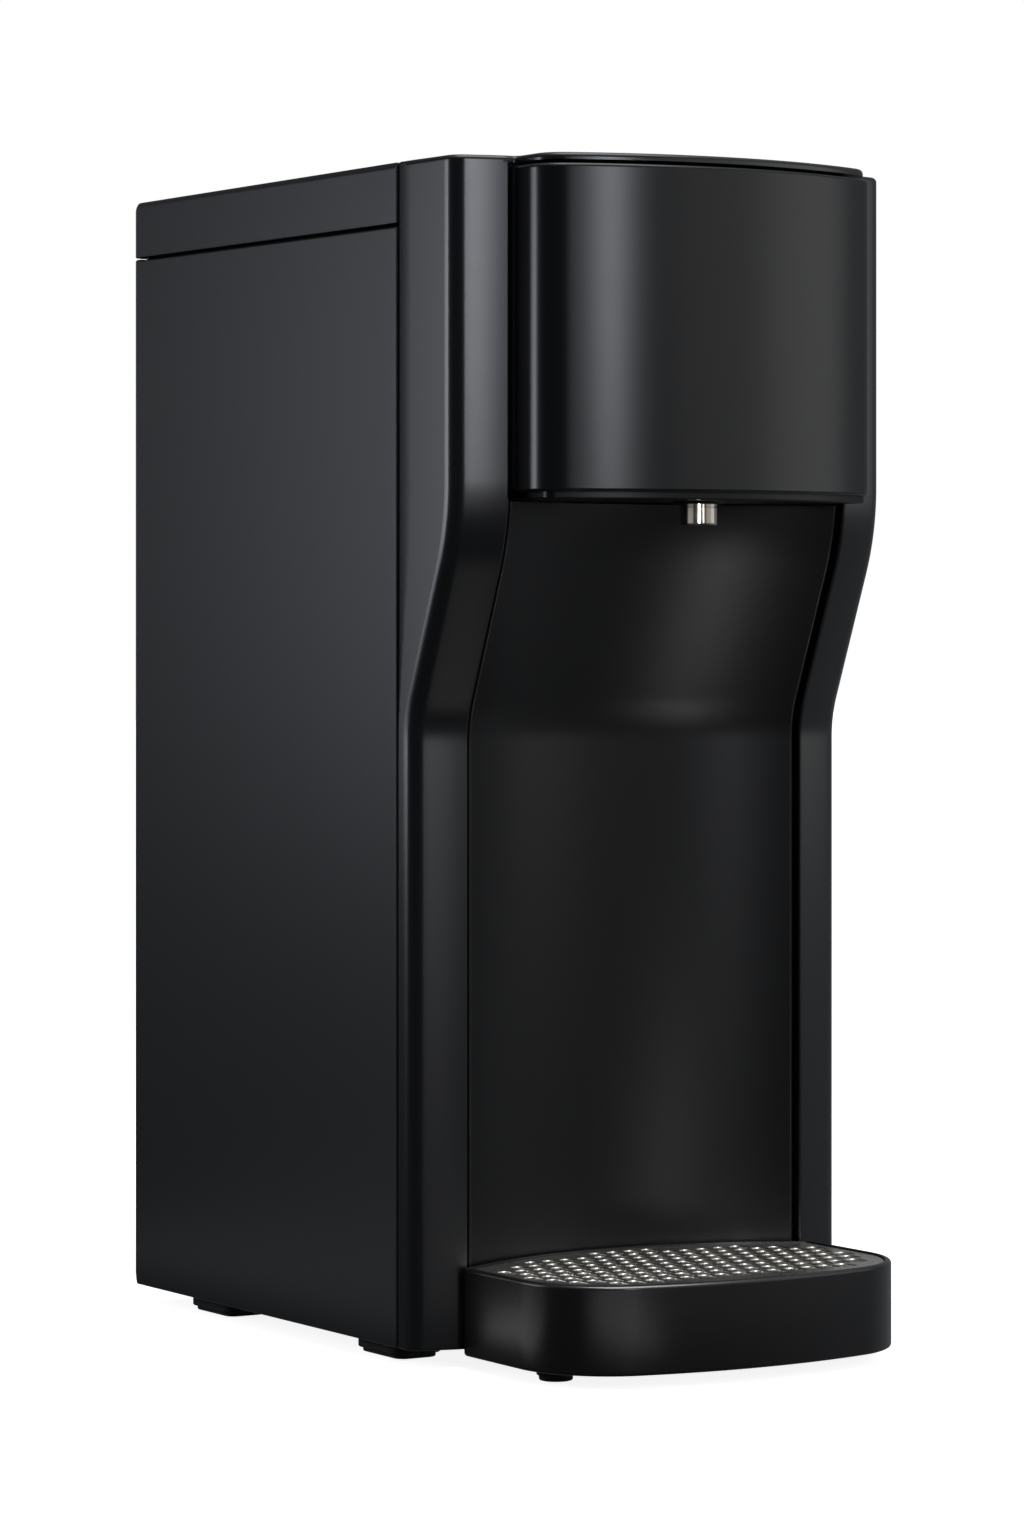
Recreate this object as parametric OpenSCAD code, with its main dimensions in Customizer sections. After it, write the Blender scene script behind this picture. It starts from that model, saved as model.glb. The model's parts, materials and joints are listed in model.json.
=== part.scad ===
// Countertop water cooler: a reservoir under the lid feeds a chilled tank, and a pump lifts the
// cold water to one nozzle over a drip tray.
// Millimetres, +Z up, front towards -Y, origin at the bottom centre of the whole cooler.

/* [Cabinet] */
// Overall width
body_w = 215; // [211:1:230]
// Overall height, feet included
body_h = 500; // [494:1:530]
// Depth from the rear face to the seam of the front frame
body_d = 241; // [236:1:265]
// Height of the rubber feet, which is also the height of the cabinet's underside
foot_h = 7; // [6:0.5:10]
// Wall of the moulded covers
shell_t = 2.5; // [2.2:0.1:2.8]
// Floor of the base pan
floor_t = 3; // [2.5:0.5:4]
// Visible gap between two covers
seam = 1.4; // [1:0.1:1.8]
// Radius of the cabinet's rear corners
rear_r = 5; // [3:0.5:5.5]
// Rear panel set in from the rear edge
rear_recess = 3; // [2.8:0.1:3.6]
// Gap between two fixed pieces that sit together
fit = 0.3; // [0.2:0.05:0.35]

/* [Lid] */
// Height of the lid's skirt
lid_h = 26; // [24:0.5:30]
// Thickness of the lid's top
lid_t = 3; // [2.5:0.1:3.5]
// Distance of the hinge line from the rear face
hinge_set = 5; // [5:0.1:5.4]
// Radius of the hinge eyes
hinge_eye_r = 4; // [3.6:0.1:4.1]
// Radius of the hinge pins
hinge_pin_r = 2; // [1.6:0.1:2.2]
// Distance of each hinge from the middle
hinge_x = 73; // [60:1:78]
// Radial clearance of a turning pin
pin_play = 0.06; // [0.03:0.01:0.09]

/* [Front frame] */
// From the seam to the front corner of a pillar
pillar_depth = 9.5; // [9:0.5:14]
// Width of a pillar's front face
pillar_w = 24; // [22:0.5:26]
// How far the face's inner edge stands in front of its outer corner
pillar_rake = 8; // [6:0.5:10]
// Radius of a pillar's outer corner
pillar_r = 5; // [3:0.5:5.5]
// How far the lower half is set back behind the head
bay_recess = 33.3; // [26:0.5:38]
// Height of the lower bend of the set-back
bend_low_z = 268; // [250:1:272]
// Height of the upper bend of the set-back
bend_high_z = 347.5; // [344:0.5:350]
// Radius of the lower bend
bend_low_r = 45; // [30:1:60]
// Radius of the upper bend
bend_high_r = 60; // [40:1:70]
// Thickness of the hood over the head
hood_t = 3; // [2.5:0.1:3.5]
// How far the hood's front edge stays inside the head's
hood_set = 2.5; // [1.5:0.5:5]

/* [Splash panel] */
// Depth of the panel's hollow
panel_sag = 22.5; // [18:0.5:26]
// Gap beside the panel
panel_gap = 1.4; // [1:0.1:2]
// Depth of the panel's side returns
panel_return = 12; // [10:0.5:13]

/* [Head] */
// Gap between the head and a pillar
head_gap = 1.4; // [1.2:0.1:2.4]
// Height of the head's lower edge
head_z = 362; // [360:0.5:372]
// Gap between the head and the hood
head_top_gap = 1.5; // [1:0.1:2.5]
// How far the head's corner stands in front of the pillars
head_side = 24; // [20:0.5:28]
// Bow of the head's front
head_bow = 20; // [14:0.5:26]
// Radius of the head's upright corners
head_r = 8; // [7:0.5:12]
// Drop of the nozzle plate below the head
plate_drop = 3; // [2.5:0.5:6]

/* [Nozzle] */
// Outside diameter of the nozzle sleeve
nozzle_d = 16; // [14:0.5:18]
// Length of sleeve that shows below the nozzle plate
nozzle_show = 10; // [7:0.5:14]
// Nozzle behind the head's front
nozzle_set = 30; // [25:0.5:31]
// Wall of the nozzle sleeve
nozzle_wall = 1.8; // [1.4:0.1:2.2]
// Height of the elbow's arm above the nozzle plate
elbow_rise = 28; // [26:1:32]

/* [Drip tray] */
// Overall width
tray_w = 176; // [170:1:184]
// From the cabinet's seam to the tray's front
tray_reach = 113; // [105:1:125]
// Height of the tray's underside
tray_lift = 5; // [4:0.5:6]
// Height of the tray's rim
tray_top = 41.5; // [38:0.5:50]
// Radius of the front corners
tray_r = 42; // [34:1:46]
// Radius of the front's bow
tray_bow_r = 240; // [200:5:320]
// Width of the rim round the grille
tray_rim = 2.6; // [2:0.1:3.2]
// Width of the ledge under the grille
tray_ledge = 2.4; // [2:0.1:3.5]
// Thickness of the grille
grille_t = 2; // [1.5:0.1:2.5]
// Grille below the rim
grille_drop = 0.9; // [0.6:0.1:1.5]
// Spacing of the grille's holes along X
hole_pitch = 8.6; // [8.2:0.1:10]
// Spacing of the grille's rows
hole_row = 10.4; // [10.2:0.1:12]
// Width of a grille hole
hole_w = 6.4; // [5:0.1:6.8]
// Length of a grille hole
hole_l = 10.4; // [8:0.1:11.6]
// Width of the tongues that hold the tray
tongue_w = 14; // [10:1:18]
// Distance of each tongue from the middle
tongue_x = 36; // [30:1:44]

/* [Water] */
// Outside radius of the chilled tank
cold_r = 48; // [42:0.5:49]
// Height of the chilled tank
cold_h = 150; // [135:1:152]
// Thickness of the insulation
foam_t = 16; // [13:0.5:16.5]
// Space behind the splash panel
service_gap = 11; // [9:0.5:13]
// Height of the bay for the pump
pump_bay_h = 100; // [96:1:102]
// Front to back length of the reservoir
res_d = 170; // [150:1:174]
// Wall of the reservoir
res_t = 2.5; // [2:0.1:3]
// Height of the reservoir's seal
seal_h = 3.5; // [3:0.1:5]
// Outside radius of the hoses
hose_r = 6; // [5.6:0.1:6.5]
// Outside radius of the hose tails
tail_r = 4; // [3.5:0.1:4.1]
// Travel of the float
float_travel = 70; // [40:1:90]

/* [Cooling] */
// Side of the fan
fan_w = 92; // [92:1:96]
// Thickness of the fan
fan_t = 25; // [22:1:28]
// Depth of the heat sink's fins
fin_h = 20; // [18:1:27]
// Spacing of the fins
fin_pitch = 7.5; // [7.3:0.05:7.6]
// Side of the thermoelectric module
module_w = 40; // [36:1:42]

/* [Pump] */
// Radius of the pump head
pump_r = 26; // [25:0.5:28]
// Height of the pump's axis above the floor
pump_rise = 38; // [36:0.5:44]
// Radius of the pump's motor
motor_r = 20; // [17:0.5:21]
// Radius of the pump's shaft
shaft_r = 2; // [1.5:0.1:2.4]

/* [Mains] */
// Distance of the mains inlet from the middle
inlet_x = 58; // [50:1:66]
// Height of the mains inlet above the floor
inlet_rise = 38; // [34:1:42]
// Width of the inlet's opening
inlet_w = 24; // [23.6:0.1:24.4]
// Height of the inlet's opening
inlet_h = 16.5; // [16.2:0.1:16.8]
// Tilt of the switch at rest
rocker_tilt = 8; // [5:0.5:9]

/* [Hidden] */
$fn = 72;
xo = body_w / 2;
rear_y = (body_d + tray_reach) / 2;
seam_y = rear_y - body_d;
lid_z = body_h - lid_h;
side_top = lid_z - seam / 2;
lid_bottom = lid_z + seam / 2;
frame_back_y = seam_y - seam / 2;
side_front_y = seam_y + seam / 2;
floor_z = foot_h + floor_t;
rear_t = 2.5;
rear_out_y = rear_y - rear_recess;
rear_in_y = rear_out_y - rear_t;
flange_y = rear_in_y - shell_t;
lip_w = 8;
flange_w = 16;
base_x = xo - shell_t - fit;
base_front_y = seam_y + 14;
base_back_y = flange_y - fit;
base_wall_h = 20;

// front frame
xi = xo - pillar_w;
corner_y = seam_y - pillar_depth;
edge_y = corner_y - pillar_rake;
head_edge_y = edge_y - bay_recess;
rake_a = atan(pillar_rake / pillar_w);
return_d = 18;
bend_a = atan(bay_recess / (bend_high_z - bend_low_z));
bend_z0 = bend_low_z - bend_low_r * tan(bend_a / 2);
bend_z1 = bend_high_z + bend_high_r * tan(bend_a / 2);
arc_low_h = bend_low_r * sin(bend_a);
arc_high_h = bend_high_r * sin(bend_a);
hood_z = body_h - hood_t;
bulk_y = head_edge_y + 6;

// splash panel
xp = xi - panel_gap;
panel_edge_y = edge_y + 1.5;
panel_r = (xp * xp + panel_sag * panel_sag) / (2 * panel_sag);
panel_cy = panel_edge_y + panel_sag - panel_r;
bay_back_y = panel_edge_y + panel_sag + shell_t;

// head
hw = xi - head_gap;
head_front_y = head_edge_y - head_side - head_bow;
head_bow_r = (hw * hw + head_bow * head_bow) / (2 * head_bow);
head_top = hood_z - head_top_gap;
plate_z = head_z - plate_drop;
plate_t = 2.5;
panel_top = plate_z - fit;
nozzle_y = head_front_y + nozzle_set;
nozzle_r = nozzle_d / 2;
elbow_z = plate_z + plate_t + elbow_rise;
elbow_r = 7;
elbow_back_y = bulk_y + shell_t + 13;
touch_y = head_front_y + 26;
touch_z = elbow_z + elbow_r + 8;
touch_w = 110;
touch_h = head_top - shell_t - 6 - touch_z;
board_t = 1.6;

// drip tray
tray_x = tray_w / 2;
tray_front_y = seam_y - tray_reach;
tray_back_y = edge_y - 2;
tray_gap = 1.2;
tray_floor = 3;
lens_x = xp - 1;
grille_z = tray_top - grille_drop - grille_t;
tongue_z = floor_z + 3;
tongue_t = 5;
tongue_back_y = base_front_y + 10;
tongue_play = 0.4;
tray_foot_r = 8;
tray_foot_x = tray_x - 16;
tray_foot_y = tray_front_y + 45;
peg_r = 3;

// water
foam_half = cold_r + foam_t;
cold_y = bay_back_y + service_gap + foam_half;
deck_t = 2;
deck_z = floor_z + pump_bay_h;
foam_z = deck_z + deck_t;
tank_z = foam_z + foam_t;
tank_top = tank_z + cold_h;
tank_lid_t = 3;
cap_z = tank_top + tank_lid_t;
shelf_z = cap_z + foam_t + fit;
res_z = shelf_z + deck_t;
res_top = body_h - lid_t - fit - seal_h;
res_x = base_x - 11;
res_y = bay_back_y + 7;
res_floor = 3;
res_r = 14;
frame_x = base_x - 12;
frame_front_y = cold_y - foam_half + 4;
frame_back2_y = cold_y + foam_half + 14;
steel_t = 1.5;
spout_r = 7;
spout_z = tank_top - 4;
port_x = 30;
port_z = deck_z - 15;
bore_r = tail_r - 1.4;
hose_in_r = tail_r + 0.45;
stem_x = 62;
stem_y = cold_y + 20;
stem_r = 3;
float_r = 15;
float_h = 20;
float_z = res_z + res_floor + 5;

// cooling
core_z = tank_z + cold_h / 2;
foam_back_y = cold_y + foam_half;
block_w = module_w + 2;
pad_w = 66;
pad_t = 5;
pad_y = foam_back_y + pad_t;
module_t = 4;
sink_y = pad_y + module_t;
sink_w = 104;
sink_t = 6;
fin_t = 2;
fin_y = sink_y + sink_t;
fan_y = fin_y + fin_h + fit;
fan_hole = 5.5 * fin_pitch;
clamp_x = 3.5 * fin_pitch;
rotor_r = fan_w / 2 - 4;
hub_r = 18;

// pump
pump_z = floor_z + pump_rise;
pump_y = cold_y + 46;
pump_l = 24;
pump_wall = 3;
motor_y = pump_y + pump_l;
motor_l = 50;
impeller_r = pump_r - 7;
outlet_z = pump_z + 15;
outlet_x = -pump_r - 16;
inlet_y = pump_y - 16;

// mains
inlet_z = floor_z + inlet_rise;
inlet_wall = 1.8;
inlet_d = 17;
switch_z = inlet_z + 36;
switch_w = 19;
switch_h = 13;
drain_x = 60;
drain_z = floor_z + 34;
drain_r = 8;
pcb_w = 120;
pcb_h = 104;
pcb_z = lid_bottom - pcb_h - 55;
board_gap = 6;
pcb_y = rear_in_y - board_gap;
foot_l = 38;
foot_w = 24;
foot_x = xo - foot_w / 2 - 6;
foot_front_y = seam_y + 29;
foot_rear_y = rear_y - 62;

// Forward shift of the front at height z: upright, arc, slope, arc, upright.
function shift(z) =
    z <= bend_z0 ? 0
    : z < bend_z0 + arc_low_h ? bend_low_r - sqrt(pow(bend_low_r, 2) - pow(z - bend_z0, 2))
    : z < bend_z1 - arc_high_h ? (z - bend_low_z) * tan(bend_a)
    : z < bend_z1 ? bay_recess - bend_high_r + sqrt(pow(bend_high_r, 2) - pow(bend_z1 - z, 2))
    : bay_recess;

// Heights of the rings of a shape that follows the front from z0 to z1.
function levels(z0, z1) = concat(
    [z0],
    [for (i = [0:5]) bend_z0 + arc_low_h * i / 5],
    [for (i = [0:6]) let (z = bend_z1 - arc_high_h * (1 - i / 6)) if (z < z1 - 0.5) z],
    [z1]);

// Front face of the splash panel at x, for a cylinder of radius r about the panel's axis.
function hollow_y(x, r) = panel_cy + sqrt(r * r - x * x);

// Plan of the left pillar as [x, y, k]; k is 1 where the point follows the front.
function pillar_plan() = let (
    cut = pillar_r * tan((90 - rake_a) / 2),
    skin = shell_t / cos(rake_a),
    slope = pillar_rake / pillar_w)
    concat(
        [[-xo, frame_back_y, 0]],
        [for (i = [0:6]) let (a = 180 + (90 - rake_a) * i / 6)
            [-xo + pillar_r + pillar_r * cos(a), corner_y + cut + pillar_r * sin(a), 1]],
        [[-xi - 0.6, edge_y + 0.6 * slope, 1],
        [-xi, edge_y + 0.8, 1],
        [-xi, edge_y + return_d, 1],
        [-xi - shell_t, edge_y + return_d, 1],
        [-xi - shell_t, edge_y + shell_t * slope + skin, 1],
        [-xo + shell_t, corner_y - shell_t * slope + skin, 1],
        [-xo + shell_t, frame_back_y, 0]]);
function pillar_cells() = [
    [0, 1, 13, 14],
    [for (i = [1:8]) i, 12, 13],
    [8, 9, 10, 11, 12]];

// Plan of the splash panel: hollow front, side returns, hollow back.
panel_n = 18;
function panel_plan() = let (n = panel_n, xr = xp - shell_t) concat(
    [[-xp, panel_edge_y + panel_return, 1]],
    [for (i = [0:n]) let (x = -xp + 2 * xp * i / n) [x, hollow_y(x, panel_r), 1]],
    [[xp, panel_edge_y + panel_return, 1], [xr, panel_edge_y + panel_return, 1]],
    [for (i = [0:n]) let (x = xr - 2 * xr * i / n) [x, hollow_y(x, panel_r + shell_t), 1]],
    [[-xr, panel_edge_y + panel_return, 1]]);
function panel_cells() = let (n = panel_n, e = 2 * n + 4) concat(
    [for (i = [0:n - 1]) [1 + i, 2 + i, e - 1 - i, e - i]],
    [[0, 1, e, e + 1], [n + 1, n + 2, n + 3, n + 4]]);

// Points of a smooth curve through the control points of a hose.
function spline(p, n) = concat(
    [for (i = [0:len(p) - 2]) for (j = [0:n - 1]) let (
        t = j / n,
        a = p[max(i - 1, 0)],
        b = p[i],
        c = p[i + 1],
        d = p[min(i + 2, len(p) - 1)])
        b + t * (c - a) / 2 + t * t * (2 * a - 5 * b + 4 * c - d) / 2
            + t * t * t * (3 * b - a - 3 * c + d) / 2],
    [p[len(p) - 1]]);
function unit(v) = v / norm(v);
function tangents(p) = [for (i = [0:len(p) - 1])
    unit(p[min(i + 1, len(p) - 1)] - p[max(i - 1, 0)])];
function carried(n, t) = unit(n - (n * t) * t);

// A point of the plan lies inside the area that carries holes.
function in_grille(x, y) = let (
    m = tray_rim + 5 + hole_l / 2,
    cx = tray_x - tray_r,
    by = tray_front_y + tray_bow_r,
    cy = by - sqrt(pow(tray_bow_r - tray_r, 2) - cx * cx))
    y + hole_l / 2 < hollow_y(min(abs(x) + hole_w / 2, panel_r - 20), panel_r - 7)
    && abs(x) < (y > tray_back_y - 8 - hole_l / 2 ? lens_x - 8 : tray_x - tray_rim - 7)
    && (y > cy || abs(x) < cx || norm([abs(x) - cx, y - cy]) < tray_r - m)
    && norm([x, y - by]) < tray_bow_r - m;

module at_sides() {
    children();
    mirror([1, 0, 0]) children();
}

module bar(x0, x1, y0, y1, z0, z1) {
    translate([x0, y0, z0]) cube([x1 - x0, y1 - y0, z1 - z0]);
}

module along_y(x, z, y0, y1, r) {
    translate([x, y1, z]) rotate([90, 0, 0]) cylinder(r = r, h = y1 - y0);
}

module along_x(y, z, x0, x1, r) {
    translate([x0, y, z]) rotate([0, 90, 0]) cylinder(r = r, h = x1 - x0);
}

module upright(x, y, z0, z1, r) {
    translate([x, y, z0]) cylinder(r = r, h = z1 - z0);
}

module rounded(w, d, r) {
    square([w - 2 * r, d], center = true);
    square([w, d - 2 * r], center = true);
    for (sx = [-1, 1]) {
        for (sy = [-1, 1]) {
            translate([sx * (w / 2 - r), sy * (d / 2 - r)]) circle(r);
        }
    }
}

// Corner of a square with the quarter disc taken away, for rounding an outside corner at [0, 0].
module corner_cut(r) {
    difference() {
        translate([-1, -1]) square(r + 1);
        translate([r, r]) circle(r);
    }
}

// Plan with upright sides, rounded front corners and a bowed front, drawn d inside its outline.
module bowed_plan(half_w, back_y, front_y, bow_r, corner_r, d) {
    r = corner_r - d;
    big = bow_r - d;
    cx = half_w - corner_r;
    by = front_y + bow_r;
    cy = by - sqrt(pow(big - r, 2) - cx * cx);
    k = (big + 4) / (by - cy);
    translate([d - half_w, cy]) square([2 * (half_w - d), back_y - d - cy]);
    for (s = [-1, 1]) {
        translate([s * cx, cy]) circle(r);
    }
    intersection() {
        translate([0, by]) circle(big, $fn = 200);
        polygon([[-cx, cy], [-cx * k, by + (cy - by) * k], [cx * k, by + (cy - by) * k], [cx, cy]]);
    }
}

module head_plan(d) {
    bowed_plan(hw, bulk_y - fit + d, head_front_y, head_bow_r, head_r, d);
}

// Drip tray in plan: the bowed front, and a back that nests in the hollow of the splash panel.
module tray_plan(d) {
    bowed_plan(tray_x, tray_back_y, tray_front_y, tray_bow_r, tray_r, d);
    intersection() {
        translate([0, panel_cy]) circle(panel_r - tray_gap - d, $fn = 200);
        translate([d - lens_x, tray_back_y - 20]) square([2 * (lens_x - d), 100]);
    }
}

// A plan carried up the front, each ring shifted forward by the front's own curve.
// The cells are the plan's convex pieces as lists of its points, and close both ends.
module front_sweep(plan, cells, z0, z1) {
    zs = levels(z0, z1);
    n = len(plan);
    m = len(zs);
    points = [for (z = zs) for (p = plan) [p[0], p[1] - p[2] * shift(z), z]];
    sides = [for (j = [0:m - 2]) for (i = [0:n - 1])
        [j * n + i, (j + 1) * n + i, (j + 1) * n + (i + 1) % n, j * n + (i + 1) % n]];
    tops = [for (c = cells) [for (i = [1:len(c)]) (m - 1) * n + c[len(c) - i]]];
    polyhedron(points, concat(sides, cells, tops));
}

// Hose with its bore along a smooth route, square at both ends.
module hose(route) {
    n = 12;
    p = spline(route, 3);
    t = tangents(p);
    m = len(p);
    first = carried(abs(t[0][2]) < 0.9 ? [0, 0, 1] : [1, 0, 0], t[0]);
    normals = [for (i = 0, v = first; i < m; i = i + 1, v = i < m ? carried(v, t[i]) : v) v];
    ring = function (i, r) [for (k = [0:n - 1])
        p[i] + r * (cos(k * 360 / n) * normals[i] + sin(k * 360 / n) * cross(t[i], normals[i]))];
    points = concat(
        [for (i = [0:m - 1]) each ring(i, hose_r)],
        [for (i = [0:m - 1]) each ring(i, hose_in_r / cos(180 / n))]);
    o = m * n;
    outer = [for (j = [0:m - 2]) for (k = [0:n - 1]) let (q = (k + 1) % n)
        [j * n + k, (j + 1) * n + k, (j + 1) * n + q, j * n + q]];
    inner = [for (j = [0:m - 2]) for (k = [0:n - 1]) let (q = (k + 1) % n)
        [o + j * n + q, o + (j + 1) * n + q, o + (j + 1) * n + k, o + j * n + k]];
    ends = [for (k = [0:n - 1]) let (q = (k + 1) % n, e = (m - 1) * n) each [
        [k, q, o + q, o + k],
        [e + q, e + k, o + e + k, o + e + q]]];
    polyhedron(points, concat(outer, inner, ends));
}

// Ring round a hose end at a point, turned to the hose's direction.
module clip(at, turn) {
    translate(at) rotate(turn) {
        difference() {
            union() {
                cylinder(r = hose_r + 1.6, h = 5);
                translate([hose_r, -2, 0]) cube([5, 4, 5]);
            }
            translate([0, 0, -1]) cylinder(r = hose_r + 0.35, h = 7);
        }
    }
}

module foot_places() {
    for (sx = [-1, 1]) {
        for (y = [foot_front_y, foot_rear_y]) {
            translate([sx * foot_x, y, 0]) children();
        }
    }
}

module base_pan() {
    color("#1b1c1f") difference() {
        union() {
            bar(-base_x, base_x, base_front_y, base_back_y, foot_h, floor_z);
            at_sides() bar(base_x - shell_t, base_x, base_front_y, base_back_y, foot_h, floor_z + base_wall_h);
            bar(-base_x, base_x, base_back_y - shell_t, base_back_y, foot_h, floor_z + base_wall_h);
            bar(-base_x, base_x, base_front_y, base_front_y + 7, foot_h, floor_z + base_wall_h - 6);
        }
        at_sides() bar(tongue_x - tongue_w / 2 - tongue_play, tongue_x + tongue_w / 2 + tongue_play,
            base_front_y - 1, base_front_y + 8, tongue_z - tongue_play, tongue_z + tongue_t + tongue_play);
        foot_places() upright(0, 0, 0, floor_z + 1, peg_r + 0.1);
        for (i = [-3:3]) {
            bar(i * 9 - 2, i * 9 + 2, base_front_y + 20, cold_y + 24, 0, floor_z + 1);
        }
        for (sx = [-1, 1]) {
            for (y = [frame_front_y + 10, frame_back2_y - 10]) {
                upright(sx * (frame_x - 9), y, 0, floor_z + 1, 1.56);
            }
        }
    }
}

module body_feet() {
    color("#0c0c0d") foot_places() {
        linear_extrude(2) rounded(foot_w - 4, foot_l - 4, 6);
        translate([0, 0, 2]) linear_extrude(foot_h - 2) rounded(foot_w, foot_l, 7);
        upright(0, 0, 1, floor_z, peg_r);
    }
}

// Side cover in plan: wall, rounded rear lip, and the flange behind the rear panel.
module side_plan() {
    difference() {
        union() {
            translate([xo - shell_t, side_front_y]) square([shell_t, rear_y - side_front_y]);
            translate([xo - lip_w, rear_y - shell_t]) square([lip_w, shell_t]);
            translate([xo - flange_w, flange_y]) square([flange_w, shell_t]);
        }
        translate([xo, rear_y]) rotate(180) corner_cut(rear_r);
    }
    intersection() {
        translate([xo - rear_r, rear_y - rear_r]) difference() {
            circle(rear_r);
            circle(max(rear_r - shell_t, 0.2));
        }
        translate([xo - rear_r, rear_y - rear_r]) square(rear_r);
    }
}

function screw_zs() = [floor_z + 32, (floor_z + side_top) / 2, side_top - 30];
screw_x = xo - flange_w + 4.5;

module side_panel() {
    difference() {
        translate([0, 0, foot_h]) linear_extrude(side_top - foot_h) side_plan();
        for (z = screw_zs()) {
            along_y(screw_x, z, flange_y - 1, rear_in_y + 1, 1.56);
        }
        translate([0, rear_y, foot_h]) rotate([90, 0, 90]) rotate([0, 0, 90]) linear_extrude(xo + 1)
            corner_cut(rear_r);
    }
}

module left_side_panel() {
    color("#26282b") mirror([1, 0, 0]) side_panel();
}

module right_side_panel() {
    color("#26282b") side_panel();
}

hinge_y = rear_y - hinge_set;
hinge_z = lid_bottom + hinge_eye_r;
rear_top = hinge_z - hinge_eye_r - 3;
ear_w = 6;
lug_w = 7;
side_play = 0.4;
rear_half = xo - lip_w - fit;

module rear_panel() {
    color("#202225") difference() {
        union() {
            bar(-rear_half, rear_half, rear_in_y, rear_out_y, floor_z + 3, rear_top);
            at_sides() {
                bar(hinge_x - ear_w / 2, hinge_x + ear_w / 2, hinge_y - hinge_eye_r, rear_in_y + 1,
                    rear_top - 16, hinge_z);
                along_x(hinge_y, hinge_z, hinge_x - ear_w / 2, hinge_x + ear_w / 2, hinge_eye_r);
            }
            for (sx = [-1, 1]) {
                for (z = [pcb_z + 5, pcb_z + pcb_h - 5]) {
                    along_y(sx * (pcb_w / 2 - 5), z, pcb_y, rear_in_y + 1, 3.5);
                }
            }
        }
        at_sides() along_x(hinge_y, hinge_z, hinge_x - ear_w, hinge_x + ear_w, hinge_pin_r + pin_play);
        for (sx = [-1, 1]) {
            for (z = [pcb_z + 5, pcb_z + pcb_h - 5]) {
                along_y(sx * (pcb_w / 2 - 5), z, pcb_y - 1, rear_in_y, 1.56);
            }
            for (z = screw_zs()) {
                along_y(sx * screw_x, z, rear_in_y - 1, rear_out_y + 1, 1.8);
            }
            for (i = [-6:6]) {
                bar(sx > 0 ? 4 : -46, sx > 0 ? 46 : -4, rear_in_y - 1, rear_out_y + 1,
                    core_z + i * 8 - 2, core_z + i * 8 + 2);
            }
        }
        translate([-inlet_x, 0, inlet_z]) bar(-inlet_w / 2 - inlet_wall - 0.1, inlet_w / 2 + inlet_wall + 0.1,
            rear_in_y - 1, rear_out_y + 1, -inlet_h / 2 - inlet_wall - 0.1, inlet_h / 2 + inlet_wall + 0.1);
        translate([-inlet_x, 0, switch_z]) bar(-switch_w / 2 - 0.1, switch_w / 2 + 0.1,
            rear_in_y - 1, rear_out_y + 1, -switch_h / 2 - 0.1, switch_h / 2 + 0.1);
        along_y(drain_x, drain_z, rear_in_y - 1, rear_out_y + 1, drain_r + 0.1);
    }
}

module rear_screws() {
    color("#8a8c90") for (sx = [-1, 1]) {
        for (z = screw_zs()) {
            along_y(sx * screw_x, z, flange_y - 6, rear_out_y + 1, 1.5);
            along_y(sx * screw_x, z, rear_out_y, rear_out_y + 2, 3.2);
        }
    }
}

module hood_plan() {
    p = [for (q = pillar_plan()) if (q[1] < frame_back_y + 0.1) q];
    left = [for (i = [0:8]) [p[i][0], p[i][1] - p[i][2] * bay_recess]];
    polygon(concat(left, [for (i = [0:8]) [-left[8 - i][0], left[8 - i][1]]]));
    head_plan(hood_set);
}

module touch_places() {
    for (sx = [-1, 1]) {
        for (sz = [5, touch_h - 5]) {
            translate([sx * (touch_w / 2 - 5), 0, touch_z + sz]) children();
        }
    }
}

// Plan of the lip inside the seam, which the side panel slips over.
module lip_plan() {
    root_x = shell_t * 0.5 - xo;
    polygon([
        [root_x, frame_back_y - 3],
        [shell_t - base_x, frame_back_y - 3],
        [shell_t - base_x, side_front_y + 9],
        [-base_x, side_front_y + 9],
        [-base_x, frame_back_y - 0.4],
        [root_x, frame_back_y - 0.4]]);
}

// Plan of the sill that ties the pillars at the bottom; its edges run inside their walls.
module sill_plan() {
    slope = pillar_rake / pillar_w;
    skin = 0.6 * shell_t / cos(rake_a);
    left = [
        [-base_x + shell_t * 0.5, base_front_y - fit],
        [-base_x + shell_t * 0.5, frame_back_y - 1.5],
        [-xo + shell_t * 0.7, frame_back_y - 1.5],
        [-xo + shell_t * 0.7, corner_y - shell_t * 0.7 * slope + skin],
        [-xi - shell_t * 0.5, edge_y + shell_t * 0.5 * slope + skin]];
    difference() {
        polygon(concat(left, [for (i = [0:4]) [-left[4 - i][0], left[4 - i][1]]]));
        translate([0, panel_cy]) circle(panel_r, $fn = 200);
    }
}

module front_frame() {
    color("#1f2124") difference() {
        union() {
            at_sides() {
                front_sweep(pillar_plan(), pillar_cells(), foot_h, hood_z + 0.5);
                translate([0, 0, foot_h + 1]) linear_extrude(side_top - 4 - foot_h) lip_plan();
            }
            translate([0, 0, hood_z]) linear_extrude(hood_t) hood_plan();
            bar(-xi - 1, xi + 1, bulk_y, bulk_y + shell_t, plate_z + plate_t + 1, hood_z + 0.5);
            translate([0, 0, foot_h + 0.6]) linear_extrude(floor_t - 0.6) sill_plan();
            touch_places() along_y(0, 0, touch_y + board_t, bulk_y + 1, 3.5);
        }
        along_y(0, elbow_z, bulk_y - 1, bulk_y + shell_t + 1, elbow_r + 2);
        touch_places() along_y(0, 0, touch_y, bulk_y - 2, 1.56);
    }
}

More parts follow.
